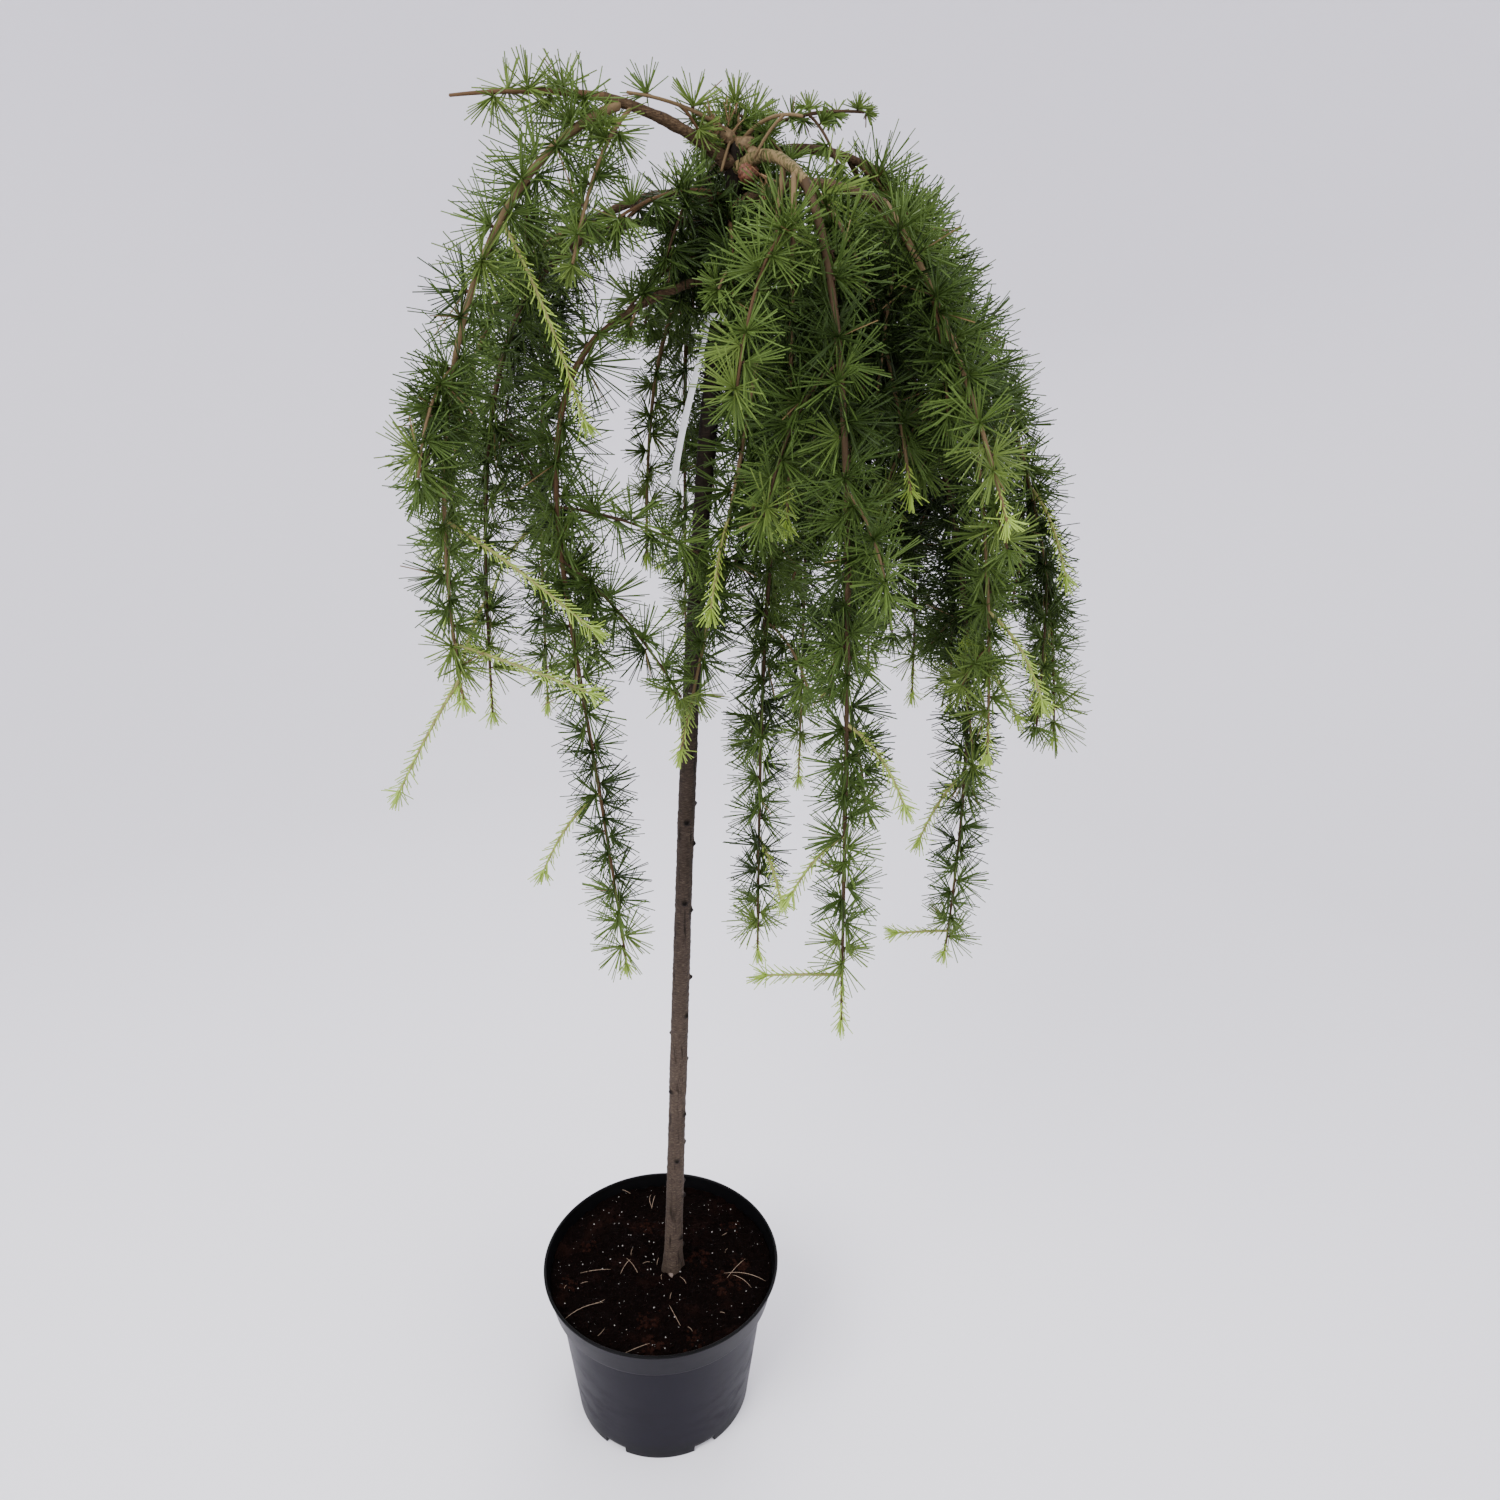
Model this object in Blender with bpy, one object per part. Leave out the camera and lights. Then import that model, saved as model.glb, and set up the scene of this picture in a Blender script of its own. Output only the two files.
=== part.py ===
"""A potted weeping larch: a slim leaning stem in a black plastic pot, topped by a head of
arching boughs with long hanging foliage. Metres, +Z up, +X to the right of the front view
and -Y towards it. The origin is the centre of the pot's flat underside."""

import math
import random
from typing import NamedTuple

import bmesh
import bpy
import numpy as np
from mathutils import Matrix, Vector
from mathutils.bvhtree import BVHTree

GAP = 0.0003
SEED = 12

# The pot, a thin-walled cone with a collar and six drain notches in its foot.
POT_HEIGHT = 0.168
RIM_RADIUS = 0.115
COLLAR_HEIGHT = 0.034
COLLAR_FOOT_RADIUS = 0.1075
COLLAR_STEP = 0.002
SHOULDER_RADIUS = 0.1015
FOOT_RADIUS = 0.087
POT_WALL = 0.0025
POT_FLOOR = 0.008
FOOT_BAND = 0.010
FOOT_FLARE = 0.0010
RIM_ROUND = 0.0012
POT_SIDES = 40
POT_EDGE = 30
NOTCH_COUNT = 6
NOTCH_WIDTH = 0.022
NOTCH_HEIGHT = 0.006
NOTCH_DEPTH = 0.012
SOIL_LEVEL = 0.155

# The stem: where it stands, how far it leans, and how it bends over at its head.
STEM_FOOT_X = 0.011
STEM_LEAN = 0.033
STEM_BEND = 0.024
HEAD_HEIGHT = 1.143
STEM_RADIUS = 0.0078
NECK_RADIUS = 0.0062
FLARE = 0.0022
FLARE_HEIGHT = 0.020
GRAFT_BULGE = 0.0022
GRAFT_LENGTH = 0.014
GRAFT_DROP = 0.006
STEM_SIDES = 12
STEM_STEP = 0.078
FLARE_RINGS = (0, 0.008, 0.025, 0.065)
GRAFT_RINGS = (0.017, GRAFT_DROP, -0.003)
CROWN_HEIGHT = 0.004
CROWN_SHARE = 0.55
HEADING_STEP = 0.001
BARK_EDGE = 50

# The plain strip that hangs from the stem under the head.
STRIP_HEIGHT = 1.036
STRIP_LENGTH = 0.120
STRIP_WIDTH = 0.009
STRIP_THICKNESS = 0.0007
STRIP_AZIMUTH = 212
STRIP_SWING = 15
LOOP_WALL = 0.0014
LOOP_HEIGHT = 0.008

BOUGH_SIDES = 6
BOUGH_STEP = 0.015

# Foliage. A blade stands for one tuft of needles, and each of its teeth for a few of them.
TWIG_SIDES = 3
TWIG_STEP = 0.045
TWIG_FOOT_RADIUS = 0.0012
TWIG_TIP_RADIUS = 0.0008
TWIG_SPACING = 0.150
TWIG_REACH = 0.085
SHOOT_REACH = 0.140
SHOOT_STEP = 0.022
SHOOT_LENGTHS = (0.055, 0.100)
SHOOT_STARTS = (50, 75)
SHOOT_DROOP = 0.04
SHOOT_HANG = 8
SHOOT_TAPER = 0.5
SHOOT_ENDS = 0.7
BLADE_SPACING = 0.034
SHORT_LIMB = 0.1
SHORT_SPACING = 0.013
BARE_ROOT = 0.009
BLADE_REACH = 0.035
BLADE_TAPER = 0.27
BLADE_THICKNESS = 0.0018
BLADE_SPREAD = 110
BLADE_FORWARD = (0.1, 0.5)
BLADE_TEETH = 3
BLADE_NOTCH = 0.34
BLADE_BELLY = 0.28
BLADE_TILTS = (0, 45, 90, 135)
BLADE_LEAN = 35
LEAST_FILL = 0.5
LEAST_NOTCH = 0.0015
CLEAR_GAIN = 1.05
TOOTH_SWAY = 0.15
TOOTH_STEPS = 8
ROOT_SINK = 0.0006
TIP_SIZE = 0.7
GOLDEN_ANGLE = 137.5
SPACE_MARGIN = 0.004
LIMB_CLEARANCE = 0.0030
FOOT_SPACING = 0.009
PROBE_HEIGHT = 0.012
PROBE_RINGS = (0, 0.3, 0.65, 1)
PROBE_SIDES = 12
LINE_STEP = 0.005
CROWN_UPRIGHT = 150
CROWN_FOOT_RADIUS = 0.004


class Limb(NamedTuple):
    """A drooping limb. Angles are in degrees: the azimuth is from +X round to +Y, and the
    start and hang angles are from straight down. The limb sets off at its start angle and
    nears its hang angle over its droop length, while its heading swerves evenly."""

    azimuth: float
    start: float
    droop: float
    hang: float
    length: float
    swerve: float = 0


class Bough(NamedTuple):
    """A bough as built: its centre line, its headings and radii there, and its surface."""

    points: list
    headings: list
    taper: list
    surface: BVHTree


# Boughs: height of the foot on the stem, foot radius, tip radius and the limb.
BOUGHS = {
    "crest": (1.132, 0.0042, 0.0030, Limb(200, 125, 0.25, 40, 0.09)),
    "left": (1.090, 0.0032, 0.0026, Limb(185, 110, 0.14, 20, 0.09)),
    "left_front": (1.060, 0.0030, 0.0024, Limb(235, 90, 0.15, 10, 0.09, -60)),
    "left_back": (1.082, 0.0026, 0.0022, Limb(110, 110, 0.08, 5, 0.07)),
    "front": (1.130, 0.0042, 0.0032, Limb(300, 115, 0.08, 20, 0.08)),
    "right_front": (1.108, 0.0036, 0.0028, Limb(330, 120, 0.12, 30, 0.11)),
    "right": (1.135, 0.0038, 0.0028, Limb(25, 117, 0.12, 35, 0.10)),
    "right_low": (1.088, 0.0032, 0.0026, Limb(0, 100, 0.10, 20, 0.08)),
    "centre_back": (1.075, 0.0026, 0.0022, Limb(65, 105, 0.06, 5, 0.06)),
    "back": (1.125, 0.0034, 0.0028, Limb(105, 115, 0.12, 30, 0.10)),
    "back_left": (1.108, 0.0032, 0.0026, Limb(150, 110, 0.14, 30, 0.11)),
    "back_right": (1.103, 0.0032, 0.0026, Limb(55, 110, 0.12, 30, 0.11)),
}

# Foliage masses: the bough that carries each one, the stem's foot radius and the stem. A
# height in place of a bough is on the trunk, and "head" is the trunk's top.
MASSES = {
    "crest_tip": ("crest", 0.0022, Limb(192, 95, 0.20, 60, 0.095)),
    "left_outer": ("crest", 0.0022, Limb(207, 70, 0.18, -12, 0.43)),
    "crest_low": ("crest", 0.0016, Limb(232, 55, 0.06, 12, 0.11)),
    "left_hang": ("left", 0.0018, Limb(185, 70, 0.08, 0, 0.37)),
    "left_inner": ("left_front", 0.0018, Limb(200, 60, 0.06, -8, 0.50, -60)),
    "left_rear": ("left_back", 0.0014, Limb(180, 40, 0.06, 0, 0.22)),
    "front_long": ("front", 0.0020, Limb(290, 50, 0.09, 2, 0.58, 20)),
    "front_short": ("front", 0.0016, Limb(268, 55, 0.05, 0, 0.22)),
    "front_side": ("front", 0.0016, Limb(328, 55, 0.08, 8, 0.22, 40)),
    "front_inner": ("front", 0.0016, Limb(195, 5, 0.15, 13, 0.40)),
    "right_front": ("right_front", 0.0020, Limb(312, 45, 0.14, 18, 0.22)),
    "right_front_low": ("right_front", 0.0016, Limb(350, 50, 0.12, 2, 0.40)),
    "right_outer": ("right", 0.0020, Limb(8, 48, 0.45, -18, 0.48, -25)),
    "right_middle": ("right", 0.0016, Limb(-5, 50, 0.10, 2, 0.42)),
    "right_rear": ("right", 0.0016, Limb(60, 65, 0.08, 0, 0.42)),
    "right_long": ("right_low", 0.0020, Limb(0, 45, 0.22, -7, 0.57, -30)),
    "centre_long": ("right_low", 0.0016, Limb(215, 30, 0.12, -1, 0.54)),
    "right_inner": ("right_low", 0.0016, Limb(60, 60, 0.08, 0, 0.36)),
    "centre_rear": ("centre_back", 0.0014, Limb(60, 30, 0.08, 0, 0.26)),
    "back_hang": ("back", 0.0018, Limb(100, 70, 0.08, 0, 0.40)),
    "back_inner": ("back", 0.0014, Limb(30, 50, 0.06, 0, 0.30)),
    "back_outer": ("back", 0.0018, Limb(60, 75, 0.10, 0, 0.36)),
    "back_left_outer": ("back_left", 0.0018, Limb(168, 80, 0.12, 0, 0.36)),
    "back_left_hang": ("back_left", 0.0018, Limb(135, 75, 0.09, 0, 0.44)),
    "back_right_outer": ("back_right", 0.0018, Limb(35, 75, 0.12, 0, 0.44)),
    "back_right_hang": ("back_right", 0.0018, Limb(80, 60, 0.08, 0, 0.50)),
    "crown_top": ("head", 0.0014, Limb(120, 165, 0.10, 120, 0.022)),
    "crown_crest": ("head", 0.0016, Limb(205, 122, 0.12, 60, 0.080)),
    "crown_right": ("head", 0.0016, Limb(20, 122, 0.12, 60, 0.090)),
    "crown_front": ("head", 0.0016, Limb(300, 116, 0.10, 40, 0.070)),
    "crown_back": ("head", 0.0016, Limb(108, 118, 0.10, 50, 0.080)),
    "crown_left": (1.112, 0.0016, Limb(218, 105, 0.08, 40, 0.090)),
    "crown_left_low": (1.074, 0.0016, Limb(210, 100, 0.06, 20, 0.080)),
    "crown_front_low": (1.095, 0.0016, Limb(272, 95, 0.05, 10, 0.080)),
    "crown_right_low": (1.113, 0.0016, Limb(0, 110, 0.08, 30, 0.090)),
    "crown_back_left": (1.074, 0.0016, Limb(150, 100, 0.05, 10, 0.080)),
    "crown_back_right": (1.119, 0.0016, Limb(62, 105, 0.08, 40, 0.080)),
}

# Side shoots that show plainly: the mass, how far along its stem, the reach of its needles
# and the shoot.
SHOOTS = (
    ("left_inner", 0.38, 0.024, Limb(350, 70, 0.10, 20, 0.11)),
    ("left_inner", 0.50, 0.024, Limb(340, 60, 0.12, 20, 0.13)),
    ("left_outer", 0.25, 0.014, Limb(350, 30, 0.10, 12, 0.15)),
    ("left_outer", 0.70, 0.014, Limb(350, 60, 0.30, 30, 0.12)),
    ("left_outer", 0.90, 0.014, Limb(350, 75, 0.30, 60, 0.10)),
    ("left_outer", 0.96, 0.015, Limb(195, 35, 0.20, 15, 0.095)),
    ("front_long", 0.93, 0.012, Limb(185, 95, 0.20, 80, 0.055)),
    ("right_long", 0.96, 0.012, Limb(190, 95, 0.20, 80, 0.045)),
)


def clear_scene():
    for obj in list(bpy.data.objects):
        bpy.data.objects.remove(obj, do_unlink=True)


def plain_material(name, colour, roughness):
    made = bpy.data.materials.new(name)
    made.use_nodes = True
    surface = made.node_tree.nodes["Principled BSDF"]
    surface.inputs["Base Color"].default_value = (*colour, 1)
    surface.inputs["Roughness"].default_value = roughness
    surface.inputs["Metallic"].default_value = 0
    return made


def mesh_object(name, bm, material):
    """Recalculates the faces outward and links the mesh as one named object."""
    bmesh.ops.recalc_face_normals(bm, faces=bm.faces)
    mesh = bpy.data.meshes.new(name)
    bm.to_mesh(mesh)
    bm.free()
    mesh.materials.append(material)
    obj = bpy.data.objects.new(name, mesh)
    bpy.context.scene.collection.objects.link(obj)
    return obj


def shade_round(obj, edge):
    """Shades smooth across every edge under that angle in degrees."""
    obj.data.shade_smooth()
    obj.data.set_sharp_from_angle(angle=math.radians(edge))


def turned(name, profile, material):
    """Turns a profile of (radius, height) points, whose ends are on the axis, round Z."""
    bm = bmesh.new()
    corners = [bm.verts.new((radius, 0, height)) for radius, height in profile]
    edges = [bm.edges.new(pair) for pair in zip(corners, corners[1:])]
    bmesh.ops.spin(
        bm,
        geom=corners + edges,
        cent=(0, 0, 0),
        axis=(0, 0, 1),
        angle=math.tau,
        steps=POT_SIDES,
        use_merge=True,
    )
    bmesh.ops.remove_doubles(bm, verts=bm.verts, dist=1e-6)
    return mesh_object(name, bm, material)


def heading(azimuth, from_down):
    """The unit vector at an azimuth and at an angle from straight down, in degrees."""
    azimuth, from_down = math.radians(azimuth), math.radians(from_down)
    level = math.sin(from_down)
    return Vector((level * math.cos(azimuth), level * math.sin(azimuth), -math.cos(from_down)))


def limb_path(foot, limb, step=TWIG_STEP):
    """The points along a limb, and the heading at each of them."""
    count = max(2, round(limb.length / step))
    points, headings = [Vector(foot)], []
    for i in range(count):
        along = (i + 0.5) * limb.length / count
        angle = limb.hang + (limb.start - limb.hang) * math.exp(-along / limb.droop)
        headings.append(heading(limb.azimuth + limb.swerve * along / limb.length, angle))
        points.append(points[-1] + headings[-1] * limb.length / count)
    return points, headings + headings[-1:]


def circle(middle, normal, across, radius, sides):
    """The corners of a ring round a point, from the direction across."""
    other = normal.cross(across)
    turns = [math.tau * k / sides for k in range(sides)]
    return [middle + (across * math.cos(t) + other * math.sin(t)) * radius for t in turns]


def tube(bm, points, normals, radii, sides):
    """A closed tube through the points, with each ring square to its normal."""
    rings = []
    across = normals[0].cross(normals[1])
    if across.length < 0.1:
        across = normals[0].orthogonal()
    for point, normal, radius in zip(points, normals, radii):
        across = (across - normal * across.dot(normal)).normalized()
        ring = circle(point, normal, across, radius, sides)
        rings.append([bm.verts.new(corner) for corner in ring])
    for lower, upper in zip(rings, rings[1:]):
        for k in range(sides):
            bm.faces.new((lower[k - 1], lower[k], upper[k], upper[k - 1]))
    bm.faces.new(rings[0])
    bm.faces.new(rings[-1])


def stem_centre(height):
    rise = (height - SOIL_LEVEL) / (HEAD_HEIGHT - SOIL_LEVEL)
    return Vector((STEM_FOOT_X + STEM_LEAN * rise + STEM_BEND * rise**5, 0, height))


def stem_heading(height):
    above, below = stem_centre(height + HEADING_STEP), stem_centre(height - HEADING_STEP)
    return (above - below).normalized()


def stem_radius(height):
    """Tapers evenly, with a root flare at the soil and a swelling at the graft."""
    rise = (height - SOIL_LEVEL) / (HEAD_HEIGHT - SOIL_LEVEL)
    taper = STEM_RADIUS + (NECK_RADIUS - STEM_RADIUS) * rise
    flare = FLARE * math.exp(-(height - SOIL_LEVEL) / FLARE_HEIGHT)
    bulge = GRAFT_BULGE * math.exp(-(((HEAD_HEIGHT - GRAFT_DROP - height) / GRAFT_LENGTH) ** 2))
    return taper + flare + bulge


def build_pot(material):
    collar_foot = POT_HEIGHT - COLLAR_HEIGHT
    profile = (
        (0, 0),
        (FOOT_RADIUS, 0),
        (FOOT_RADIUS + FOOT_FLARE, FOOT_BAND),
        (SHOULDER_RADIUS, collar_foot),
        (COLLAR_FOOT_RADIUS, collar_foot + COLLAR_STEP),
        (RIM_RADIUS - RIM_ROUND, POT_HEIGHT - 2 * RIM_ROUND),
        (RIM_RADIUS, POT_HEIGHT - RIM_ROUND),
        (RIM_RADIUS - RIM_ROUND, POT_HEIGHT),
        (RIM_RADIUS - POT_WALL, POT_HEIGHT),
        (COLLAR_FOOT_RADIUS - POT_WALL, collar_foot + COLLAR_STEP / 2),
        (SHOULDER_RADIUS - POT_WALL, collar_foot - COLLAR_STEP / 2),
        (FOOT_RADIUS - POT_WALL, POT_FLOOR),
        (0, POT_FLOOR),
    )
    pot = turned("pot", profile, material)
    for i in range(NOTCH_COUNT):
        cut_notch(pot, math.tau * (i + 0.5) / NOTCH_COUNT, i)
    shade_round(pot, POT_EDGE)


def cut_notch(pot, turn, number):
    """Cuts one drain notch through the edge of the foot."""
    bm = bmesh.new()
    bmesh.ops.create_cube(bm, size=1)
    cutter = mesh_object(f"notch_cutter_{number}", bm, pot.data.materials[0])
    cutter.scale = (2 * NOTCH_DEPTH, NOTCH_WIDTH, 2 * NOTCH_HEIGHT)
    cutter.location = (FOOT_RADIUS * math.sin(turn), -FOOT_RADIUS * math.cos(turn), 0)
    cutter.rotation_euler = (0, 0, turn - math.pi / 2)
    cutter.hide_render = True
    cutter.display_type = "WIRE"
    cut = pot.modifiers.new(f"notch_{number}", "BOOLEAN")
    cut.operation = "DIFFERENCE"
    cut.object = cutter


def build_soil(material):
    """Fills the pot to its soil level, clear of the wall all round."""
    inset = POT_WALL + 2 * GAP
    collar_foot = POT_HEIGHT - COLLAR_HEIGHT
    ledge = collar_foot + COLLAR_STEP / 2
    rise = (SOIL_LEVEL - ledge) / (POT_HEIGHT - ledge)
    brim = COLLAR_FOOT_RADIUS + (RIM_RADIUS - COLLAR_FOOT_RADIUS) * rise
    profile = (
        (0, POT_FLOOR + GAP),
        (FOOT_RADIUS - inset, POT_FLOOR + GAP),
        (SHOULDER_RADIUS - inset, collar_foot - COLLAR_STEP / 2 + 2 * GAP),
        (COLLAR_FOOT_RADIUS - inset, ledge + 2 * GAP),
        (brim - inset, SOIL_LEVEL),
        (0, SOIL_LEVEL),
    )
    turned("soil", profile, material)


def build_trunk(material):
    foot = SOIL_LEVEL + GAP
    heights = [foot + rise for rise in FLARE_RINGS]
    count = round((HEAD_HEIGHT - heights[-1]) / STEM_STEP) - 1
    heights += [heights[-1] + STEM_STEP * (i + 1) for i in range(count)]
    heights += [HEAD_HEIGHT - drop for drop in GRAFT_RINGS]
    points = [stem_centre(height) for height in heights]
    normals = [Vector((0, 0, 1))] + [stem_heading(height) for height in heights[1:]]
    radii = [stem_radius(height) for height in heights]
    points.append(points[-1] + normals[-1] * CROWN_HEIGHT)
    normals.append(normals[-1])
    radii.append(radii[-1] * CROWN_SHARE)
    bm = bmesh.new()
    tube(bm, points, normals, radii, STEM_SIDES)
    trunk = mesh_object("trunk", bm, material)
    shade_round(trunk, BARK_EDGE)
    return trunk


def seat_on_stem(height, azimuth):
    """The point on the trunk's surface at a height and azimuth, and the surface's normal."""
    axis = stem_heading(height)
    outward = heading(azimuth, 90)
    outward = (outward - axis * outward.dot(axis)).normalized()
    return stem_centre(height) + outward * stem_radius(height), outward


def build_strip(material):
    """A loop round the stem and the thin plain strip that hangs from its outer side."""
    axis = stem_heading(STRIP_HEIGHT)
    across = axis.orthogonal().normalized()
    inner = stem_radius(STRIP_HEIGHT) + 2 * GAP
    outer = inner + LOOP_WALL
    bm = bmesh.new()
    rings = []
    for radius, rise in ((inner, -0.5), (inner, 0.5), (outer, 0.5), (outer, -0.5)):
        middle = stem_centre(STRIP_HEIGHT) + axis * rise * LOOP_HEIGHT
        ring = circle(middle, axis, across, radius, STEM_SIDES)
        rings.append([bm.verts.new(corner) for corner in ring])
    for first, second in zip(rings, rings[1:] + rings[:1]):
        for k in range(STEM_SIDES):
            bm.faces.new((first[k - 1], first[k], second[k], second[k - 1]))
    loop = mesh_object("label_strip", bm, material)
    hanging = heading(STRIP_AZIMUTH, STRIP_SWING)
    outward = heading(STRIP_AZIMUTH, STRIP_SWING + 90)
    top = stem_centre(STRIP_HEIGHT) + heading(STRIP_AZIMUTH, 90) * (inner + outer) / 2
    bm = bmesh.new()
    bmesh.ops.create_cube(bm, size=1)
    strip = mesh_object("strip", bm, material)
    strip.matrix_world = Matrix.LocRotScale(
        top + hanging * STRIP_LENGTH / 2,
        Matrix((hanging, hanging.cross(outward), outward)).transposed().to_quaternion(),
        Vector((STRIP_LENGTH, STRIP_WIDTH, STRIP_THICKNESS)),
    )
    join_all(loop, [strip])


def build_bough(name, surface, material):
    """One tapering limb from the trunk's surface."""
    height, foot_radius, tip_radius, limb = BOUGHS[name]
    foot, outward = seat_on_stem(height, limb.azimuth)
    foot = seated(foot, outward, foot_radius, surface)
    points, headings = limb_path(foot, limb, BOUGH_STEP)
    taper = np.linspace(foot_radius, tip_radius, len(points))
    bm = bmesh.new()
    tube(bm, points, [outward] + headings[1:], taper, BOUGH_SIDES)
    bough = mesh_object(f"bough_{name}", bm, material)
    shade_round(bough, BARK_EDGE)
    return Bough(points, headings, taper, surface_of(bough))


def surface_of(obj):
    graph = bpy.context.evaluated_depsgraph_get()
    graph.update()
    return BVHTree.FromObject(obj, graph)


def seated(foot, outward, radius, surface):
    """The foot moved along the outward normal until a flat end there lies clear of the
    surface under it by the gap."""
    across = outward.orthogonal().normalized()
    heights = []
    for part in PROBE_RINGS:
        for probe in circle(foot, outward, across, radius * part, PROBE_SIDES):
            hit = surface.ray_cast(probe + outward * PROBE_HEIGHT, -outward)[0]
            if hit:
                heights.append((hit - foot).dot(outward))
    return foot + outward * (max(heights) + GAP)


def mass_foot(limb, radius, bough, place):
    """Where a mass's stem starts, and its carrier's normal there. The first stem carries on
    from the bough's tip, and each later one leaves its side a little further back."""
    points, headings = bough.points, bough.headings
    if place == 0:
        return seated(points[-1], headings[-1], radius, bough.surface), headings[-1]
    back = FOOT_SPACING * place
    step = (points[-1] - points[-2]).length
    last = len(points) - 1 - int(back / step)
    along = headings[last - 1]
    centre = points[last] - along * (back % step)
    set_off = heading(limb.azimuth, limb.start)
    outward = (set_off - along * set_off.dot(along)).normalized()
    return seated(centre, outward, radius, bough.surface), outward


def trunk_foot(limb, radius, height, surface):
    """Where the stem of a mass on the trunk starts, at a height or on top of the head."""
    if height == "head":
        outward = stem_heading(HEAD_HEIGHT)
        foot = stem_centre(HEAD_HEIGHT)
        if limb.start < CROWN_UPRIGHT:
            foot = foot + heading(limb.azimuth, 90) * CROWN_FOOT_RADIUS
    else:
        foot, outward = seat_on_stem(height, limb.azimuth)
    return seated(foot, outward, radius, surface), outward


def closest(points, others):
    """For each point, the distance to the nearest of the others."""
    steps = points[:, None, :] - others[None, :, :]
    return np.sqrt((steps**2).sum(axis=2)).min(axis=1)


class Space:
    """Which mass a place belongs to: the one whose stem is nearest, clear of every limb."""

    def __init__(self, stems, limbs):
        self.stems = stems
        self.limb_points = np.array([p for points, _ in limbs for p in points])
        self.limb_radii = np.array([r for _, radii in limbs for r in radii])

    def holds(self, name, points, reach=TWIG_REACH):
        """Whether each of the points is in the mass's space, no further than the reach from
        its stem."""
        points = np.array(points)
        own = closest(points, self.stems[name])
        held = own < reach
        for other, stem in self.stems.items():
            if other != name:
                held &= closest(points, stem) > own + SPACE_MARGIN
        steps = points[:, None, :] - self.limb_points[None, :, :]
        apart = np.sqrt((steps**2).sum(axis=2)) - self.limb_radii
        return held & (apart.min(axis=1) > LIMB_CLEARANCE)


def resampled(points, step=LINE_STEP):
    """The same line with a point at least every step."""
    line = []
    for start, end in zip(points, points[1:]):
        count = max(1, math.ceil((end - start).length / step))
        line += [start.lerp(end, i / count) for i in range(count)]
    return line + [points[-1]]


def fan_ways(outward, across):
    """Headings fanned evenly about the outward one: each tooth's, with a notch's between."""
    turns = np.radians(np.linspace(-0.5, 0.5, 2 * BLADE_TEETH - 1) * BLADE_SPREAD)
    return [outward * math.cos(turn) + across * math.sin(turn) for turn in turns]


def fitted_fan(space, name, root, ways, reach, sways):
    """How far a blade reaches along each of its ways without leaving the mass's space."""
    parts = np.linspace(0, 1, TOOTH_STEPS + 1)[1:]
    places = [root + way * reach * part for way in ways for part in parts]
    held = space.holds(name, places, SHOOT_REACH).reshape(len(ways), TOOTH_STEPS)
    lengths = np.cumprod(held, axis=1).sum(axis=1) * reach / TOOTH_STEPS
    lengths[0::2] *= sways
    lengths[1::2] = np.minimum(lengths[1::2], BLADE_NOTCH * np.minimum(lengths[:-1:2], lengths[2::2]))
    return lengths


def blade_object(root, outward, across, ways, lengths, material):
    """A thin solid on the fan's outline. Its back is flat, and its front rises to a belly near
    its root."""
    outline = [root - outward * ROOT_SINK]
    outline += [root + way * length for way, length in zip(ways, lengths)]
    bm = bmesh.new()
    rim = [bm.verts.new(point) for point in outline]
    belly = outline[0] + outward * max(lengths) * BLADE_BELLY
    apex = bm.verts.new(belly + outward.cross(across) * BLADE_THICKNESS)
    bm.faces.new(rim)
    for k in range(len(rim)):
        bm.faces.new((rim[k - 1], rim[k], apex))
    return mesh_object("blade", bm, material)


def blades_along(points, headings, name, space, sway, material, reach, gap=BLADE_SPACING):
    """Blades set spirally along a twig, and one at its tip. Each is tilted to where its teeth
    find the most space, and it is left out where they find little."""
    blades = []
    length = sum((b - a).length for a, b in zip(points, points[1:]))
    turn = sway.uniform(0, 360)
    count = max(1, round((length - BARE_ROOT) / gap))
    spacing = (length - BARE_ROOT) / count
    for k in range(count + 1):
        along = (length - k * spacing) / length * (len(points) - 1)
        part = min(len(points) - 2, int(along))
        root = points[part].lerp(points[part + 1], along - part)
        axis = headings[part]
        turn += GOLDEN_ANGLE
        side = axis.orthogonal().normalized()
        side = side * math.cos(math.radians(turn)) + axis.cross(side) * math.sin(math.radians(turn))
        outward = axis if k == 0 else (side + axis * sway.uniform(*BLADE_FORWARD)).normalized()
        square = (axis - outward * axis.dot(outward)).normalized() if k else side
        full = reach * (1 - BLADE_TAPER * along / (len(points) - 1)) * (1 if k else TIP_SIZE)
        lean = sway.uniform(-BLADE_LEAN, BLADE_LEAN)
        sways = [1 - sway.uniform(0, TOOTH_SWAY) for _ in range(BLADE_TEETH)]
        best, choice = LEAST_FILL * full * BLADE_TEETH, None
        for tilt in BLADE_TILTS:
            tilt = math.radians(lean + tilt)
            across = square * math.cos(tilt) + outward.cross(square) * math.sin(tilt)
            ways = fan_ways(outward, across)
            lengths = fitted_fan(space, name, root, ways, full, sways)
            fill = lengths[0::2].sum()
            if fill > best and lengths.min() > LEAST_NOTCH:
                best, choice = fill * CLEAR_GAIN, (across, ways, lengths)
        if choice:
            blades.append(blade_object(root, outward, *choice, material))
    return blades


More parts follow.
